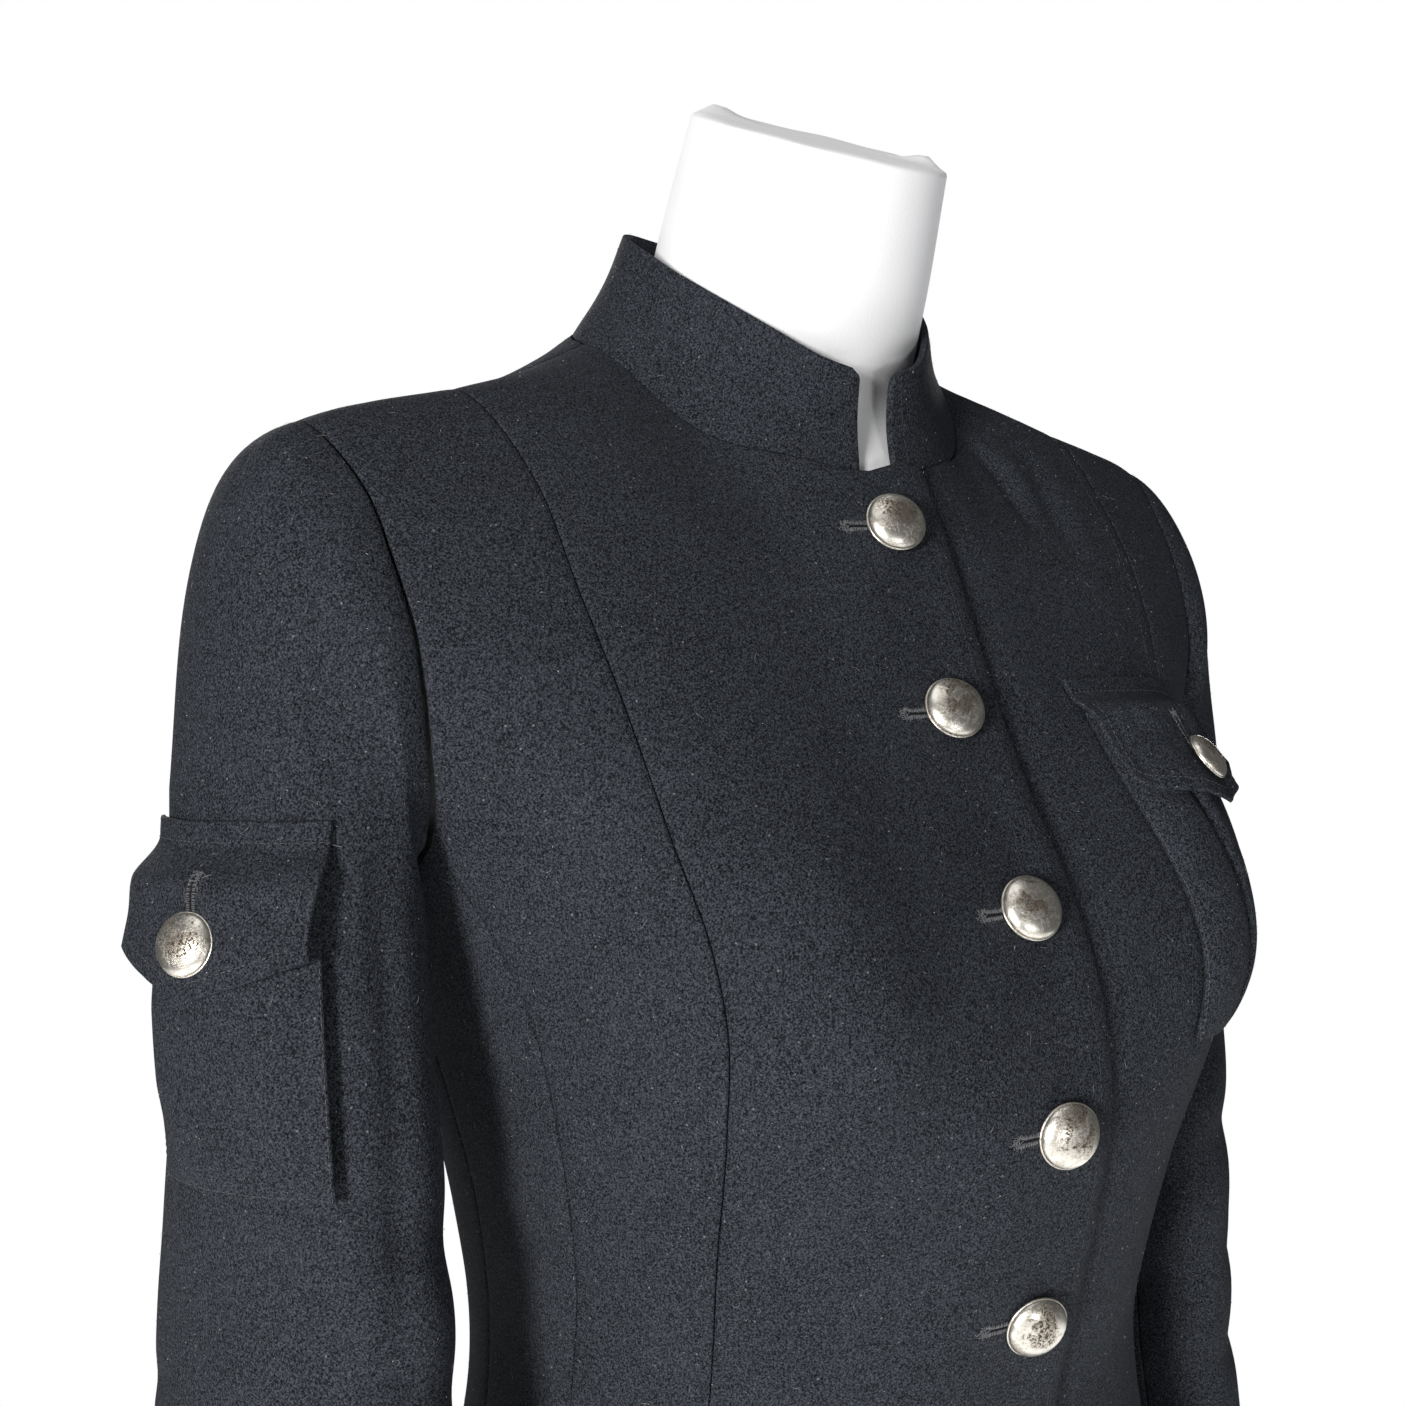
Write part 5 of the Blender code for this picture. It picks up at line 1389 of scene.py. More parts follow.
@dataclass
class Lint:
    """Pale lint on the cloth: short curled fibres and tiny tufts."""

    cloth: Cloth
    finish: bpy.types.Material
    fibres: int = 800
    tufts: int = 3000

    def strands(self, name: str, count: int, length: tuple[float, float], curl: float,
                radius: float, seed: int) -> None:
        """Scatter strands that curl in the cloth's plane and stand a hair off it.

        A strand's direction turns steadily along it, so each is an arc of its own bend.
        """
        draw = np.random.default_rng(seed)
        skins = [self.cloth.skins[node] for node in sorted(self.cloth.skins)]
        grids = np.concatenate([skin.grid.reshape(-1, 3) for skin in skins])
        normals = np.concatenate([skin.normal.reshape(-1, 3) for skin in skins])
        area = np.concatenate([skin.share_of_area().ravel() for skin in skins])
        pick = draw.choice(len(grids), count, p=area / area.sum())
        start, normal = grids[pick], normals[pick]
        first = unit(np.cross(normal, draw.normal(size=(count, 3))))
        second = np.cross(normal, first)
        steps = 7
        part = np.linspace(0.0, 1.0, steps)
        size = draw.uniform(*length, count)
        turn = draw.normal(size=count)[:, None] * curl * part
        step = size[:, None] / (steps - 1)
        right = np.cumsum(np.cos(turn) * step, axis=1)
        ahead_by = np.cumsum(np.sin(turn) * step, axis=1)
        arch = 0.00012 + 0.0003 * draw.uniform(size=count)[:, None] * np.sin(math.pi * part)
        line = (start[:, None] + first[:, None] * right[..., None]
                + second[:, None] * ahead_by[..., None] + normal[:, None] * arch[..., None])
        along = unit(np.gradient(line, axis=1))
        beside = unit(np.cross(along, normal[:, None]))
        width = radius * (0.35 + 0.65 * np.sin(math.pi * np.clip(part, 0.06, 0.94)))
        angle = circle(3)
        ring = (beside[:, :, None] * np.cos(angle)[:, None]
                + normal[:, None, None] * np.sin(angle)[:, None])
        points = line[:, :, None] + ring * width[:, None, None]
        dress(tubes_object(name, points), self.finish)
        LOG.info("%s: %d", name, count)

    def build(self) -> None:
        """Scatter the fibres and the tufts."""
        self.strands("lint_fibres", self.fibres, (0.0010, 0.0042), 2.4, 0.000042, SEED + 1)
        self.strands("lint_tufts", self.tufts, (0.0003, 0.0009), 2.6, 0.00010, SEED + 2)


@dataclass
class DressForm:
    """The limbless form: torso, rounded shoulder ends and a leaning neck, with its stand."""

    torso: TorsoShape
    hang: Hang
    jersey: bpy.types.Material
    steel: bpy.types.Material
    enamel: bpy.types.Material
    cloth_thickness: float = 0.0020
    rest_gap: float = 0.0008
    free_gap: float = 0.0045
    shoulder_end: float = 0.172
    bottom: float = 0.780
    shoulder_height: float = 1.33
    pole_gap: float = 0.0006
    base_radius: float = 0.175
    base_height: float = 0.018
    base_roll: float = 0.008
    top: float = 1.386
    columns: int = 160
    axis_low: tuple[float, float] = (0.010, 1.3850)
    axis_top: tuple[float, float] = (-0.0274, 1.4700)
    radius_low: float = 0.0565
    radius_top: float = 0.0492
    blend: tuple[float, float] = (1.345, 1.388)
    # Gathers of the jersey round the neck's top: size, angle, spread
    lumps: Rows = ((1.0, 2.12, 0.30), (0.9, 6.02, 0.16), (0.25, 2.70, 0.10))

    def neck_axis(self) -> tuple[Array, Array, Array]:
        """Give the foot and the top of the neck's axis, and its direction."""
        low, top = np.array([0.0, *self.axis_low]), np.array([0.0, *self.axis_top])
        return low, top, unit(top - low)

    def body_rings(self) -> Array:
        """Work out the rings under the jacket, which blend into the neck near the top."""
        heights = np.concatenate([
            np.linspace(self.bottom, self.shoulder_height, 70),
            np.linspace(self.shoulder_height, self.top, 26)[1:]])[:, None]
        angle = circle(self.columns)[None]
        shape = (len(heights), self.columns)
        start = np.stack([np.zeros(shape), np.full(shape, 0.005),
                          np.broadcast_to(heights, shape)], axis=-1)
        direction = np.stack([np.broadcast_to(np.cos(angle), shape),
                              np.broadcast_to(np.sin(angle), shape), np.zeros(shape)], axis=-1)
        ring = self.torso.find(start, direction, 0.4)
        resting = ease((heights - self.shoulder_height) / 0.025)
        gap = self.free_gap + (self.rest_gap - self.free_gap) * resting
        ring = ring - self.torso.normals(ring) * (self.cloth_thickness + gap)[..., None]
        high = ease((heights - 1.20) / 0.06)
        out = ring[..., 0]
        held = out / (1.0 + (np.abs(out) / self.shoulder_end) ** 12) ** (1.0 / 12.0)
        ring[..., 0] = out + (held - out) * high
        ring = np.where(ring[..., :1] > 0.0, self.hang.place(ring, Side.LEFT), ring)
        low, _, axis = self.neck_axis()
        centre = low + axis * ((heights - low[2]) / axis[2])[..., None]
        neck = centre + self.radius_low * direction
        neck[..., 2] = ring[..., 2]
        share = ease((heights - self.blend[0]) / (self.blend[1] - self.blend[0])) * 0.55
        share = share[..., None]
        return ring * (1.0 - share) + neck * share

    def neck_rings(self) -> Array:
        """Work out the leaning neck above the body, and its closed top with soft gathers."""
        low, top, axis = self.neck_axis()
        step = np.linspace(0.05, 1.0, 34)[:, None]
        angle = circle(self.columns)
        radius = (self.radius_low + (self.radius_top - self.radius_low) * step)[..., None]
        centre = (low + (top - low) * step)[:, None]
        tilt = np.array([0.0, 0.0, -axis[1] / axis[2]])
        across = unit(np.array([0.0, 1.0, 0.0]) + tilt * ease(step))[:, None]
        side = np.array([1.0, 0.0, 0.0])
        ring = (centre + radius * np.cos(angle)[:, None] * side
                + radius * np.sin(angle)[:, None] * across)
        scale = np.array([0.998, 0.988, 0.962, 0.91, 0.84, 0.74, 0.55, 0.3, 0.08])[:, None, None]
        rise = np.array([0.0006, 0.0013, 0.0018, 0.0021, *[0.0022] * 5])[:, None, None]
        cap = top + (ring[-1] - top)[None] * scale + axis * rise
        lumps = 0.05 * np.sin(angle * 9.0) + sum(
            size * np.exp(-((angle - place) / spread) ** 2) for size, place, spread in self.lumps)
        rim = np.exp(-((np.arange(len(cap)) - 3.4) / 1.5) ** 2)[:, None, None]
        cap = cap + axis * (0.0036 * lumps[None, :, None] * rim)
        return np.concatenate([ring, cap])

    def build(self) -> None:
        """Make the form and its stand."""
        rings = np.concatenate([self.body_rings(), self.neck_rings()])
        points = np.concatenate([rings.reshape(-1, 3), rings[:1].mean(axis=1),
                                 rings[-1:].mean(axis=1)])
        form = mesh_object("jersey_form", points, ring_faces(len(rings), self.columns), 60.0)
        dress(form, self.jersey, "dress_form")
        LOG.info("dress form: neck top at %.0f mm", self.axis_top[1] * 1000.0)
        self.build_stand()

    def build_stand(self) -> None:
        """Turn the pole with its flange and boss, and the round base with a rolled edge."""
        top = self.bottom - self.pole_gap
        low = self.base_height + self.pole_gap
        flange = ((0.0, 0.0), (0.041, 0.0), (0.042, -0.001), (0.042, -0.004), (0.041, -0.005),
                  (0.018, -0.006), (0.0138, -0.009), (0.0125, -0.014))
        boss = ((0.0125, 0.032), (0.0150, 0.030), (0.0235, 0.017), (0.0255, 0.014),
                (0.0260, 0.011), (0.0260, 0.001), (0.0255, 0.0), (0.0, 0.0))
        pole = (*((radius, top + rise) for radius, rise in flange), (0.0125, 0.40),
                *((radius, low + rise) for radius, rise in boss))
        dress(turned_object("turned_pole", pole, 96), self.steel, "stand_pole")
        turn = np.radians(np.linspace(90.0, -20.0, 14))
        roll, height = self.base_roll, self.base_height
        edge = [(self.base_radius + roll * (math.cos(t) - 1.0), height + roll * (math.sin(t) - 1.0))
                for t in turn]
        base = ((0.0, height), (0.06, height), (0.12, height), *edge, (0.1735, 0.003),
                (0.172, 0.0), (0.0, 0.0))
        dress(turned_object("turned_base", base, 160), self.enamel, "stand_base")


class Value:
    """One output of a node, with the arithmetic of plain numbers."""

    def __init__(self, graph: "Graph", socket: bpy.types.NodeSocket) -> None:
        """Keep the socket and the graph that it belongs to."""
        self.graph = graph
        self.socket = socket

    def math(self, operation: str, first: object, second: object = 0.0) -> "Value":
        """Add a Math node over two values."""
        return self.graph.node("ShaderNodeMath", {"operation": operation},
                               {0: first, 1: second})

    def __add__(self, other: object) -> "Value":
        """Add."""
        return self.math("ADD", self, other)

    __radd__ = __add__

    def __sub__(self, other: object) -> "Value":
        """Subtract another value."""
        return self.math("SUBTRACT", self, other)

    def __rsub__(self, other: object) -> "Value":
        """Subtract from another value."""
        return self.math("SUBTRACT", other, self)

    def __mul__(self, other: object) -> "Value":
        """Multiply."""
        return self.math("MULTIPLY", self, other)

    __rmul__ = __mul__

    def over(self, low: float, high: float) -> "Value":
        """Rise smoothly from 0 at one value to 1 at another."""
        return self.graph.node("ShaderNodeMapRange", {"interpolation_type": "SMOOTHSTEP"},
                               {"Value": self, "From Min": low, "From Max": high})


class Graph:
    """The node tree of one material, built from expressions."""

    def __init__(self, name: str) -> None:
        """Start a material with one Principled BSDF."""
        self.material = bpy.data.materials.new(name)
        self.material.use_nodes = True
        self.tree = self.material.node_tree
        self.shader = self.tree.nodes["Principled BSDF"]

    def put(self, socket: bpy.types.NodeSocket, value: object) -> None:
        """Link a value into a socket, or set it there."""
        if isinstance(value, Value):
            self.tree.links.new(value.socket, socket)
        elif isinstance(value, tuple) and socket.type == "RGBA" and len(value) == 3:
            socket.default_value = (*value, 1.0)
        else:
            socket.default_value = value

    def node(self, kind: str, settings: dict[str, object], sockets: dict[object, object],
             output: object = 0) -> Value:
        """Add any node.

        Args:
            kind: The node's type.
            settings: Its settings by name.
            sockets: Values or links by the name or number of the input.
            output: The name or number of the output that is returned.

        Returns:
            The output as a value.
        """
        item = self.tree.nodes.new(kind)
        for key, setting in settings.items():
            setattr(item, key, setting)
        for key, value in sockets.items():
            self.put(item.inputs[key], value)
        return Value(self, item.outputs[output])

    def place(self) -> Value:
        """Read the Object coordinates, which are the jacket's own frame in metres."""
        return self.node("ShaderNodeTexCoord", {}, {}, "Object")

    def noise(self, at: Value, scale: float, detail: float = 2.0, roughness: float = 0.5,
              distortion: float = 0.0) -> Value:
        """Read soft noise at a place."""
        return self.node("ShaderNodeTexNoise", {},
                         {"Vector": at, "Scale": scale, "Detail": detail,
                          "Roughness": roughness, "Distortion": distortion}, "Fac")

    def cells(self, at: Value, scale: float, output: str = "Distance") -> Value:
        """Read the distance to scattered points, or their colour."""
        return self.node("ShaderNodeTexVoronoi", {}, {"Vector": at, "Scale": scale}, output)

    def stretch(self, at: Value, scale: tuple[float, float, float],
                turn: tuple[float, float, float] = (0.0, 0.0, 0.0)) -> Value:
        """Scale and turn a place, for a pattern that runs one way."""
        return self.node("ShaderNodeMapping", {},
                         {"Vector": at, "Scale": scale, "Rotation": turn}, "Vector")

    def blend(self, share: object, first: object, second: object) -> Value:
        """Mix two colours by a share."""
        return self.node("ShaderNodeMix", {"data_type": "RGBA"}, {0: share, 6: first, 7: second},
                         2)

    def bump(self, height: Value, strength: float, distance: float) -> Value:
        """Turn heights into a shading normal."""
        return self.node("ShaderNodeBump", {},
                         {"Height": height, "Strength": strength, "Distance": distance})

    def finish(self, sockets: dict[str, object]) -> bpy.types.Material:
        """Put values into the shader and hand over the material."""
        for key, value in sockets.items():
            self.put(self.shader.inputs[key], value)
        return self.material


@dataclass(frozen=True)
class WoolCrepe:
    """Near-black wool crepe with a pebbled grain, pale specks and a faint bloom."""

    dark: tuple[float, float, float] = (0.0022, 0.0028, 0.0045)
    light: tuple[float, float, float] = (0.083, 0.092, 0.110)
    speck: tuple[float, float, float] = (0.20, 0.20, 0.21)

    def make(self) -> bpy.types.Material:
        """Build the cloth: a grain finer than a millimetre, large clouds and pale specks."""
        graph = Graph("wool_crepe")
        place = graph.place()
        grain = graph.noise(place, 1650.0, 2.0, 0.62, 0.6)
        pebble = graph.cells(place, 1350.0)
        cloud = graph.noise(place, 34.0, 2.0, 0.5)
        slub = graph.noise(graph.stretch(place, (1.0, 1.0, 0.6)), 1250.0, 2.0, 0.6)
        tone = (grain.over(0.42, 0.64) * 0.60 + slub.over(0.38, 0.68) * 0.20
                + (1.0 - pebble) * 0.16 + (cloud - 0.5) * 0.12 - 0.07)
        cloth = graph.blend(tone, self.dark, self.light)
        spot = graph.cells(place, 260.0)
        pick = graph.cells(place, 260.0, "Color")
        chance = graph.node("ShaderNodeSeparateColor", {}, {0: pick}, 0)
        speck = (1.0 - spot.over(0.06, 0.13)) * chance.over(0.80, 0.82)
        colour = graph.blend(speck * 0.75, cloth, self.speck)
        height = grain * 0.6 + (1.0 - pebble) * 0.5 + slub * 0.35
        return graph.finish({
            "Base Color": colour,
            "Roughness": 0.86 - grain * 0.12,
            "Specular IOR Level": 0.13,
            "Sheen Weight": 0.02,
            "Sheen Roughness": 0.45,
            "Sheen Tint": (0.75, 0.80, 0.92),
            "Normal": graph.bump(height, 0.75, 0.00045),
        })


@dataclass(frozen=True)
class WornMetal:
    """Warm silver metal with brown specks and small scratches towards the dome's middle."""

    bright: tuple[float, float, float] = (0.93, 0.89, 0.81)
    warm: tuple[float, float, float] = (0.66, 0.59, 0.48)
    tarnish: tuple[float, float, float] = (0.34, 0.26, 0.17)
    brown: tuple[float, float, float] = (0.070, 0.052, 0.036)

    def make(self) -> bpy.types.Material:
        """Build the metal from the place on the dome, where 0 is its middle and 1 its rim."""
        graph = Graph("worn_button_metal")
        place = graph.place()
        on_dome = graph.node("ShaderNodeAttribute", {"attribute_name": "place_on_dome"}, {},
                             "Vector")
        radius = graph.node("ShaderNodeVectorMath", {"operation": "DISTANCE"},
                            {0: on_dome, 1: (0.10, 0.24, 0.0)}, "Value")
        cloud = graph.noise(place, 260.0, 3.0, 0.6)
        speck = graph.noise(place, 1150.0, 4.0, 0.74)
        scratch = graph.noise(graph.stretch(place, (1.0, 1.0, 6.0), (0.5, 0.3, 0.7)), 700.0)
        middle = 1.0 - radius.over(0.30, 0.95)
        stain = graph.noise(place, 150.0, 3.0, 0.6)
        patch = stain.over(0.42, 0.54) * middle
        worn = speck.over(0.49, 0.55) * (patch * 1.2 + cloud.over(0.46, 0.58) * 0.30 + 0.04)
        worn = worn + scratch.over(0.58, 0.66) * middle * 0.6
        colour = graph.blend(cloud.over(0.35, 0.7) * 0.5, self.bright, self.warm)
        colour = graph.blend(patch * 0.45, colour, self.tarnish)
        colour = graph.blend(worn.over(0.0, 1.0), colour, self.brown)
        return graph.finish({
            "Base Color": colour,
            "Metallic": 1.0 - worn * 0.5,
            "Roughness": 0.25 + cloud * 0.16 + worn * 0.3,
            "Normal": graph.bump(cloud * 0.8 + speck * 0.25 - worn, 0.5, 0.00010),
        })


@dataclass(frozen=True)
class Jersey:
    """White knitted jersey: tiny loops under a faint cloud of shade."""

    pale: tuple[float, float, float] = (0.955, 0.955, 0.96)
    shade: tuple[float, float, float] = (0.93, 0.93, 0.935)
    glow: tuple[float, float, float] = (0.95, 0.95, 1.0)
    # Heights between which the painted glow sets in
    glow_rise: tuple[float, float] = (1.392, 1.415)

    def make(self) -> bpy.types.Material:
        """Build the knit; above the collar a weak painted glow lightens the shade on the neck."""
        graph = Graph("white_jersey")
        place = graph.place()
        height = graph.node("ShaderNodeSeparateXYZ", {}, {0: place}, 2)
        loops = graph.cells(graph.stretch(place, (1.0, 1.0, 0.6)), 1300.0)
        cloud = graph.noise(place, 45.0, 3.0, 0.55)
        colour = graph.blend(cloud.over(0.3, 0.75), self.pale, self.shade)
        return graph.finish({
            "Base Color": colour,
            "Roughness": 0.78 + cloud * 0.12,
            "Specular IOR Level": 0.25,
            "Sheen Weight": 0.12,
            # Painted glow: emission that lightens the neck's shade above the collar
            "Emission Color": graph.blend(height.over(*self.glow_rise), (0.0, 0.0, 0.0),
                                          self.glow),
            "Emission Strength": 0.13,
            "Normal": graph.bump(loops + cloud * 0.2, 0.30, 0.0002),
        })


@dataclass(frozen=True)
class Thread:
    """Sewing thread with a fine twist."""

    name: str
    dark: tuple[float, float, float]
    light: tuple[float, float, float]

    def make(self) -> bpy.types.Material:
        """Build the thread from fine noise."""
        graph = Graph(self.name)
        twist = graph.noise(graph.place(), 2600.0, 2.0, 0.6)
        return graph.finish({
            "Base Color": graph.blend(twist.over(0.3, 0.7), self.dark, self.light),
            "Roughness": 0.62 + twist * 0.2,
            "Specular IOR Level": 0.3,
            "Normal": graph.bump(twist, 0.4, 0.0001),
        })


@dataclass(frozen=True)
class BrushedSteel:
    """Brushed steel of the pole."""

    def make(self) -> bpy.types.Material:
        """Build the steel with marks round the pole."""
        graph = Graph("brushed_steel")
        place = graph.place()
        marks = graph.noise(graph.stretch(place, (1.0, 1.0, 30.0)), 90.0, 3.0, 0.6)
        smudge = graph.noise(place, 14.0, 2.0, 0.5)
        return graph.finish({
            "Base Color": graph.blend(marks, (0.58, 0.58, 0.60), (0.74, 0.74, 0.75)),
            "Metallic": 1.0,
            "Roughness": 0.24 + marks * 0.14 + smudge * 0.06,
            "Normal": graph.bump(marks, 0.15, 0.0001),
        })


@dataclass(frozen=True)
class Enamel:
    """White enamel of the base, with a little orange peel and faint scuffs."""

    def make(self) -> bpy.types.Material:
        """Build the enamel."""
        graph = Graph("white_enamel")
        place = graph.place()
        peel = graph.noise(place, 240.0, 2.0, 0.5)
        scuff = graph.noise(graph.stretch(place, (1.0, 4.0, 1.0), (0.0, 0.0, 0.6)), 60.0, 4.0, 0.7)
        worn = scuff.over(0.62, 0.75)
        return graph.finish({
            "Base Color": graph.blend(worn * 0.3, (0.80, 0.80, 0.81), (0.62, 0.62, 0.62)),
            "Roughness": 0.30 + worn * 0.25 + peel * 0.05,
            "Normal": graph.bump(peel, 0.12, 0.0002),
        })


@dataclass(frozen=True)
class PaleFloor:
    """The plain pale floor."""

    def make(self) -> bpy.types.Material:
        """Build the floor's matt paint."""
        graph = Graph("pale_floor")
        cloud = graph.noise(graph.place(), 3.0, 2.0, 0.5)
        return graph.finish({
            "Base Color": graph.blend(cloud, (0.90, 0.90, 0.90), (0.93, 0.93, 0.93)),
            "Roughness": 0.9,
            "Specular IOR Level": 0.1,
            "Emission Color": (1.0, 1.0, 1.0),
            "Emission Strength": 0.62,
        })


@dataclass(frozen=True)
class Studio:
    """The camera at the photograph's angle, the floor and soft light."""

    azimuth: float = -37.90
    pitch: float = 1.58
    roll: float = -1.70
    distance: float = 0.686
    height: float = 1.280
    focal_pixels: float = 1756.7
    centre_pixel: float = 791.0
    frame_pixels: float = 1406.0
    floor_radius: float = 1.9
    aim_height: float = 1.15
    # Name, place, size, power, colour
    lights: tuple[tuple, ...] = (
        ("key", (-2.9, -1.65, 1.30), 0.8, 106.0, (1.0, 0.995, 0.985)),
        ("front_glint", (-0.26, -1.48, 0.85), 0.40, 3.2, (0.97, 0.985, 1.0)),
        ("top", (-0.6, -0.4, 3.2), 1.8, 9.0, (1.0, 1.0, 1.0)),
        ("back_left", (2.3, 2.0, 1.5), 1.4, 44.0, (0.99, 0.995, 1.0)),
        ("back_right", (0.5, 3.0, 2.3), 1.4, 30.0, (1.0, 0.995, 0.99)),
    )

    def add_camera(self) -> None:
        """Place the camera: its axis leaves the frame's centre by a sideways shift."""
        turn, down, roll = (math.radians(v) for v in (self.azimuth, self.pitch, self.roll))
        ahead = np.array([-math.sin(turn) * math.cos(down), math.cos(turn) * math.cos(down),
                          -math.sin(down)])
        right = np.array([math.cos(turn), math.sin(turn), 0.0])
        up = np.cross(right, ahead)
        across = right * math.cos(roll) + up * math.sin(roll)
        upward = -right * math.sin(roll) + up * math.cos(roll)
        stand = np.array([math.sin(turn) * self.distance, -math.cos(turn) * self.distance,
                          self.height])
        data = bpy.data.cameras.new("photo_camera")
        data.sensor_width = 36.0
        data.sensor_fit = "HORIZONTAL"
        data.lens = 36.0 * self.focal_pixels / self.frame_pixels
        data.shift_x = (0.5 * self.frame_pixels - self.centre_pixel) / self.frame_pixels
        data.clip_start = 0.01
        camera = bpy.data.objects.new("photo_camera", data)
        axes = np.stack([across, upward, -ahead, stand], axis=1)
        camera.matrix_world = Matrix([*axes.tolist(), (0.0, 0.0, 0.0, 1.0)])
        bpy.context.scene.collection.objects.link(camera)
        bpy.context.scene.camera = camera

    def add_light(self, name: str, place: tuple[float, float, float], size: float,
                  power: float, colour: tuple[float, float, float]) -> None:
        """Hang a large soft light that faces the jacket's middle."""
        data = bpy.data.lights.new(name, "AREA")
        data.shape = "DISK"
        data.size = size
        data.energy = power
        data.color = colour
        item = bpy.data.objects.new(name, data)
        item.location = place
        aim = Vector((0.0, 0.0, self.aim_height)) - Vector(place)
        item.rotation_euler = aim.to_track_quat("-Z", "Y").to_euler()
        bpy.context.scene.collection.objects.link(item)

    def add_world(self) -> None:
        """Fill the room with pale light: brighter where the camera looks straight at it."""
        world = bpy.data.worlds.new("pale_room")
        world.use_nodes = True
        tree = world.node_tree
        background = tree.nodes["Background"]
        background.inputs["Color"].default_value = (1.0, 1.0, 1.0, 1.0)
        path = tree.nodes.new("ShaderNodeLightPath")
        strength = tree.nodes.new("ShaderNodeMapRange")
        strength.inputs["To Min"].default_value = 0.07
        strength.inputs["To Max"].default_value = 1.0
        tree.links.new(path.outputs["Is Camera Ray"], strength.inputs["Value"])
        tree.links.new(strength.outputs[0], background.inputs["Strength"])
        bpy.context.scene.world = world

    def build(self) -> None:
        """Set up the studio."""
        self.add_camera()
        self.add_world()
        for light in self.lights:
            self.add_light(*light)
        turn = circle(128)
        rim = np.stack([np.cos(turn), np.sin(turn), np.zeros(128)], axis=-1) * self.floor_radius
        floor = mesh_object("floor", rim, [tuple(range(128))])
        floor.data.materials.append(PaleFloor().make())
        view = bpy.context.scene.view_settings
        view.view_transform = "Standard"
        view.look = "None"


BODY_FOLDS = (
    Fold(((0.064, -0.0265, 1.3640), (0.0701, -0.0312, 1.3599), (0.0759, -0.0384, 1.3517),
          (0.0772, -0.0520, 1.3347), (0.078, -0.062, 1.318)), -0.0019, 0.0045),
    Fold(((0.072, -0.0235, 1.3660), (0.0790, -0.0300, 1.3610), (0.0850, -0.0390, 1.3500),
          (0.0860, -0.0520, 1.3330)), 0.0014, 0.0050),
    Fold(((0.0940, -0.0240, 1.3690), (0.0963, -0.0315, 1.3624), (0.0988, -0.0394, 1.3528),
          (0.0955, -0.0474, 1.3422), (0.0928, -0.0614, 1.3220), (0.0924, -0.0654, 1.3100)),
         -0.0019, 0.0050),
    Fold(((-0.140, -0.067, 1.130), (-0.120, -0.093, 1.126), (-0.104, -0.1124, 1.1260),
          (-0.081, -0.131, 1.1290), (-0.060, -0.139, 1.1330)), -0.0008, 0.0070),
    Fold(((-0.130, -0.078, 1.112), (-0.103, -0.108, 1.1080), (-0.079, -0.1236, 1.1040),
          (-0.0517, -0.1352, 1.1060)), -0.0007, 0.0080),
    Fold(((-0.1716, -0.0584, 1.2519), (-0.1551, -0.0637, 1.2287), (-0.1442, -0.0695, 1.2011),
          (-0.1398, -0.0704, 1.1717)), -0.0009, 0.0075),
    Fold(((0.150, -0.060, 1.240), (0.140, -0.078, 1.215), (0.134, -0.085, 1.190),
          (0.130, -0.083, 1.160)), -0.0009, 0.0075),
    Fold(((-0.030, 0.104, 1.120), (-0.075, 0.098, 1.112), (-0.115, 0.078, 1.108)),
         -0.0010, 0.0080),
    Fold(((0.030, 0.104, 1.100), (0.075, 0.098, 1.093), (0.115, 0.078, 1.090)),
         -0.0010, 0.0080),
    Fold(((-0.160, 0.070, 1.285), (-0.130, 0.098, 1.262), (-0.095, 0.108, 1.235)),
         -0.0011, 0.0090),
    Fold(((0.160, 0.070, 1.280), (0.130, 0.098, 1.256), (0.095, 0.108, 1.230)),
         -0.0011, 0.0090),
)
SLEEVE_FOLDS = (
    Fold(((-0.1942, -0.0544, 1.2616), (-0.1954, -0.0505, 1.2312), (-0.1965, -0.0506, 1.2019),
          (-0.1949, -0.0511, 1.1644), (-0.1955, -0.0515, 1.1189), (-0.1950, -0.0515, 1.0603),
          (-0.195, -0.053, 1.020)), -0.0024, 0.0060),
    Fold(((-0.2156, -0.0458, 1.1190), (-0.2149, -0.0437, 1.1006), (-0.2141, -0.0430, 1.0802),
          (-0.2159, -0.0410, 1.0607), (-0.215, -0.042, 1.030)), -0.0008, 0.0026),
    Fold(((-0.2400, 0.0110, 1.0790), (-0.2388, 0.0042, 1.0596), (-0.2379, -0.0006, 1.0500)),
         -0.0010, 0.0022),
    Fold(((-0.2201, -0.0156, 1.3311), (-0.2113, -0.0362, 1.3125), (-0.2083, -0.0441, 1.2892),
          (-0.2066, -0.0472, 1.2587)), -0.0010, 0.0080),
    Fold(((-0.238, -0.020, 1.020), (-0.222, -0.043, 1.005), (-0.199, -0.052, 0.996)),
         -0.0018, 0.0070),
    Fold(((-0.240, -0.012, 0.975), (-0.224, -0.040, 0.962), (-0.200, -0.051, 0.956)),
         -0.0016, 0.0070),
    Fold(((0.228, -0.020, 1.030), (0.212, -0.043, 1.015), (0.189, -0.052, 1.004)),
         -0.0018, 0.0070),
    Fold(((0.230, -0.012, 0.985), (0.214, -0.040, 0.972), (0.190, -0.051, 0.962)),
         -0.0016, 0.0070),
    Fold(((0.236, 0.020, 1.060), (0.222, 0.048, 1.050), (0.204, 0.062, 1.044)),
         -0.0016, 0.0065),
    Fold(((-0.246, 0.020, 1.055), (-0.232, 0.048, 1.045), (-0.214, 0.062, 1.039)),
         -0.0016, 0.0065),
    Fold(((-0.240, 0.030, 0.990), (-0.224, 0.055, 0.984), (-0.206, 0.064, 0.980)),
         -0.0015, 0.0070),
)
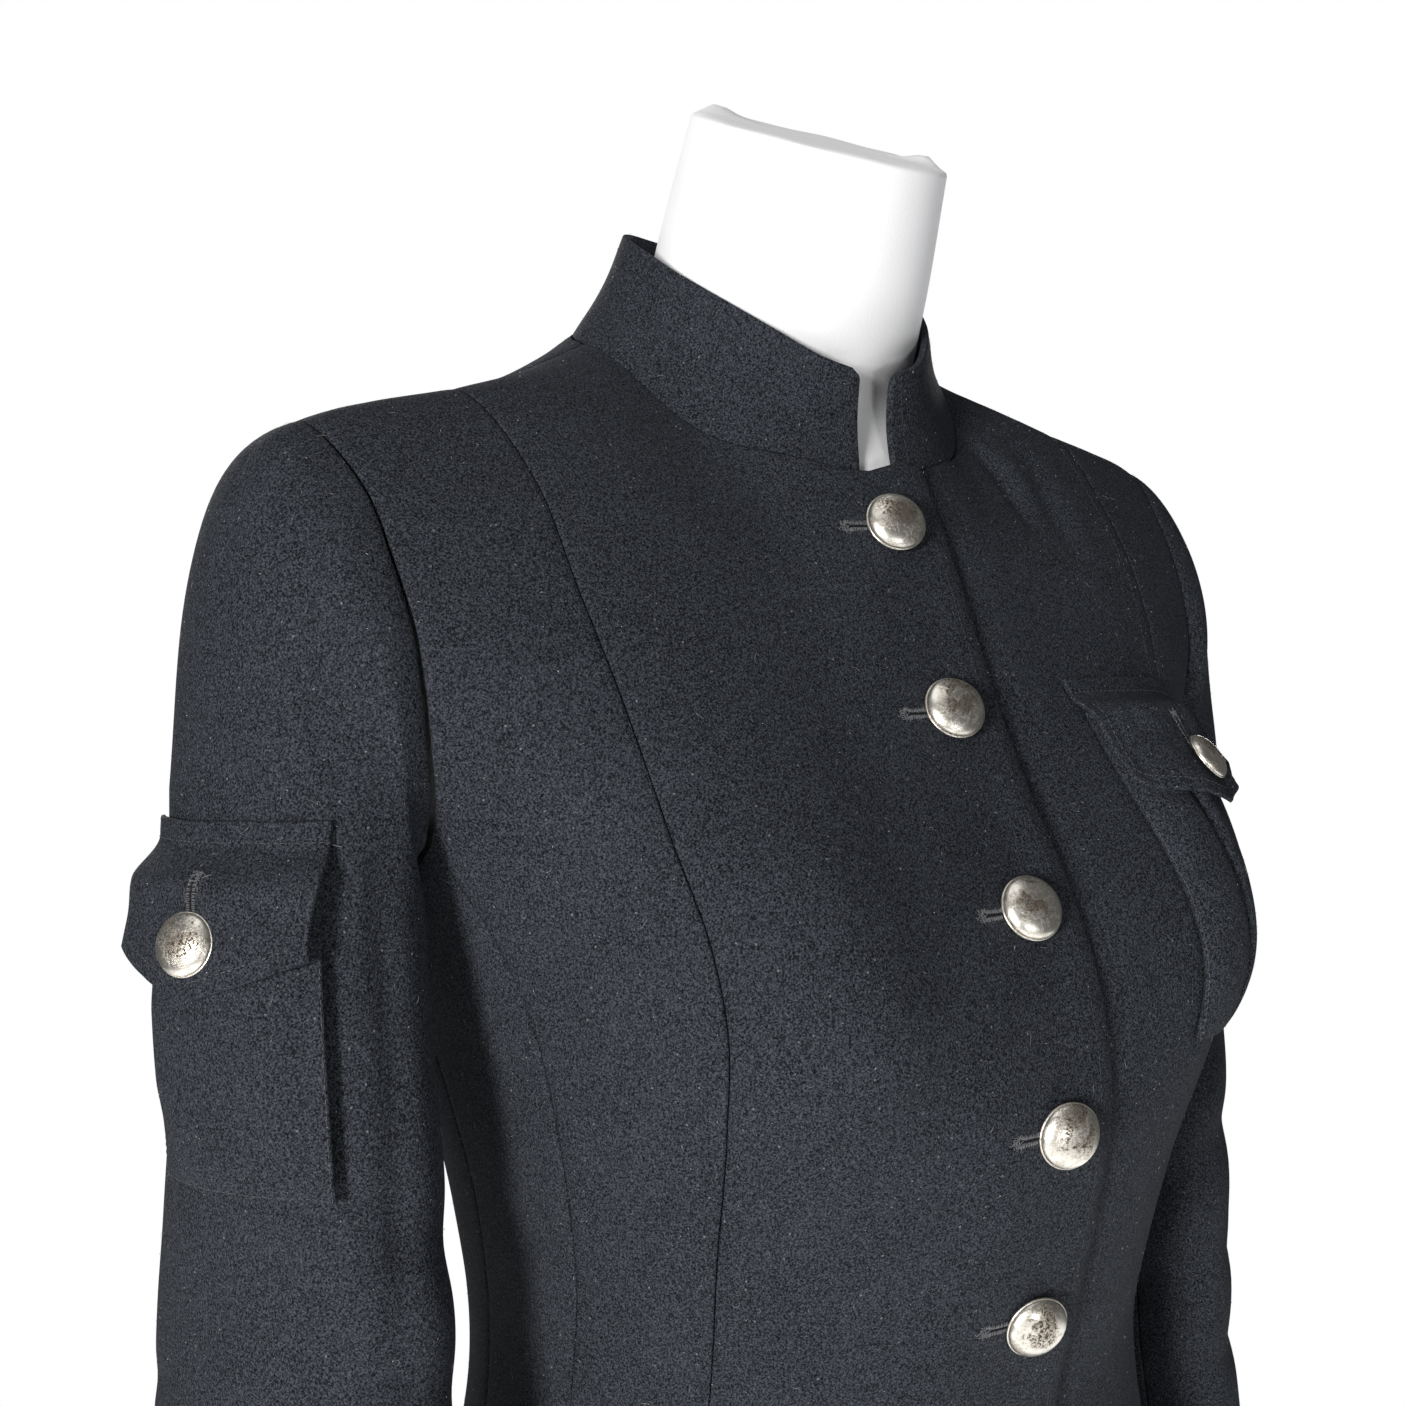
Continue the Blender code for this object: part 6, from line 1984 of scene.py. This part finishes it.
FLAP_FOLDS = (
    Fold(((0.005, 0.0, 1.2050), (0.012, 0.0, 1.2130), (0.021, 0.0, 1.2230)), 0.0009, 0.0035),
    Fold(((0.006, 0.0, 1.1990), (0.017, 0.0, 1.2060), (0.031, 0.0, 1.2150)), -0.0010, 0.0040),
    Fold(((-0.006, 0.0, 1.2030), (-0.016, 0.0, 1.2100), (-0.028, 0.0, 1.2190)), -0.0010, 0.0040),
    Fold(((0.005, 0.0, 1.2340), (0.012, 0.0, 1.2430), (0.021, 0.0, 1.2540)), 0.0008, 0.0035),
    Fold(((0.006, 0.0, 1.2280), (0.017, 0.0, 1.2350), (0.031, 0.0, 1.2460)), -0.0010, 0.0040),
    Fold(((-0.006, 0.0, 1.2320), (-0.016, 0.0, 1.2390), (-0.028, 0.0, 1.2500)), -0.0010, 0.0040),
)
SLEEVE_POCKET_FOLDS = (
    Fold(((-0.024, 0.0, 1.190), (-0.026, 0.0, 1.165), (-0.024, 0.0, 1.140)), 0.0012, 0.0090),
    Fold(((0.012, 0.0, 1.185), (0.008, 0.0, 1.160), (0.011, 0.0, 1.135)), -0.0009, 0.0080),
)


# Name, dark and light colour of the thread of seams, pockets and buttonholes, and of the painted
# shadow in the buttonholes' slits
THREADS = (
    ("tonal_thread", (0.020, 0.021, 0.025), (0.085, 0.088, 0.098)),
    ("pale_thread", (0.040, 0.042, 0.047), (0.150, 0.152, 0.160)),
    ("worked_thread", (0.060, 0.061, 0.066), (0.22, 0.22, 0.23)),
    ("slit_shadow", (0.0015, 0.0015, 0.002), (0.004, 0.004, 0.005)),
)
LINT = ("pale_lint", (0.22, 0.22, 0.23), (0.52, 0.51, 0.50))


@dataclass
class Jacket:
    """The jacket and its form, built in the order in which one piece needs another."""

    torso: TorsoShape = field(default_factory=TorsoShape)
    cloth: Cloth = field(default_factory=Cloth)

    def sleeve_pocket(self, sleeves: Sleeves) -> PatchPocket:
        """Cut the pocket on the right upper arm."""
        cut = PocketCut("sleeve", Side.RIGHT, half=0.0355, pocket_top=1.2220, bottom=1.1215,
                        flap_half=0.0390, flap_top=1.2350, flap_side=1.1955, flap_point=1.1835,
                        button_height=1.2000, fullness=0.0062, pleat=0.0, strip=0.010)

        def on_arm(distance: Array, height: Array) -> tuple[Array, Array]:
            """Find the sleeve under the pocket."""
            low = (cut.flap_top - height) / (cut.flap_top - cut.bottom)
            angle = sleeves.angle_at(distance + 0.0020 + 0.0045 * low, height, 1.0)
            return sleeves.tube(angle, height), sleeves.tube_normal(angle, height)

        return PatchPocket(cut, self.cloth, on_arm, ("right_top_sleeve",), SLEEVE_POCKET_FOLDS,
                           FLAP_FOLDS, open_side=0.0036)

    def chest_pocket(self) -> PatchPocket:
        """Cut the pleated pocket on the left chest."""
        cut = PocketCut("chest", Side.LEFT, half=0.0365, pocket_top=1.2550, bottom=1.1400,
                        flap_half=0.0395, flap_top=1.2720, flap_side=1.2245, flap_point=1.2135,
                        button_height=1.2290, fullness=0.0075, pleat=0.0016, strip=0.012)
        lean_top = 1.2680

        def on_chest(distance: Array, height: Array) -> tuple[Array, Array]:
            """Find the torso under the pocket, whose centre line leans towards the waist."""
            low = (lean_top - height) / (lean_top - cut.bottom)
            out = 0.098 - 0.006 * low + distance * 0.93
            points = self.torso.settle(np.stack([out, np.full(np.shape(out), -0.11), height],
                                                axis=-1))
            return points, self.torso.normals(points)

        return PatchPocket(cut, self.cloth, on_chest, ("left_front", "left_side_front"), (),
                           FLAP_FOLDS, taper=0.03, curl=0.0098, stand_off=0.0022, follow=0.88,
                           corner=0.0045)

    def build(self) -> None:
        """Build everything that the jacket and its form are made of."""
        self.cloth.finish = WoolCrepe().make()
        body = Body(self.torso, self.cloth, BODY_FOLDS)
        body.build()
        StandCollar(body, self.cloth).build()
        sleeves = Sleeves(body, self.cloth, SLEEVE_FOLDS)
        sleeves.build()
        seats = {"sleeve_button": self.sleeve_pocket(sleeves).build(),
                 "chest_button": self.chest_pocket().build()}
        buttons = Buttons(self.torso, WornMetal().make())
        buttons.build(seats)
        sewing = Stitching(self.cloth, *(Thread(*thread).make() for thread in THREADS))
        sewing.build_rows()
        sewing.build_holes(buttons, seats)
        Lint(self.cloth, Thread(*LINT).make()).build()
        DressForm(self.torso, self.cloth.hang, Jersey().make(), BrushedSteel().make(),
                  Enamel().make()).build()


def main() -> None:
    """Load the frame, build the jacket and set up the studio."""
    logging.basicConfig(level=logging.INFO, format="%(name)s: %(message)s")
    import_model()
    Jacket().build()
    Studio().build()


if __name__ == "__main__":
    main()
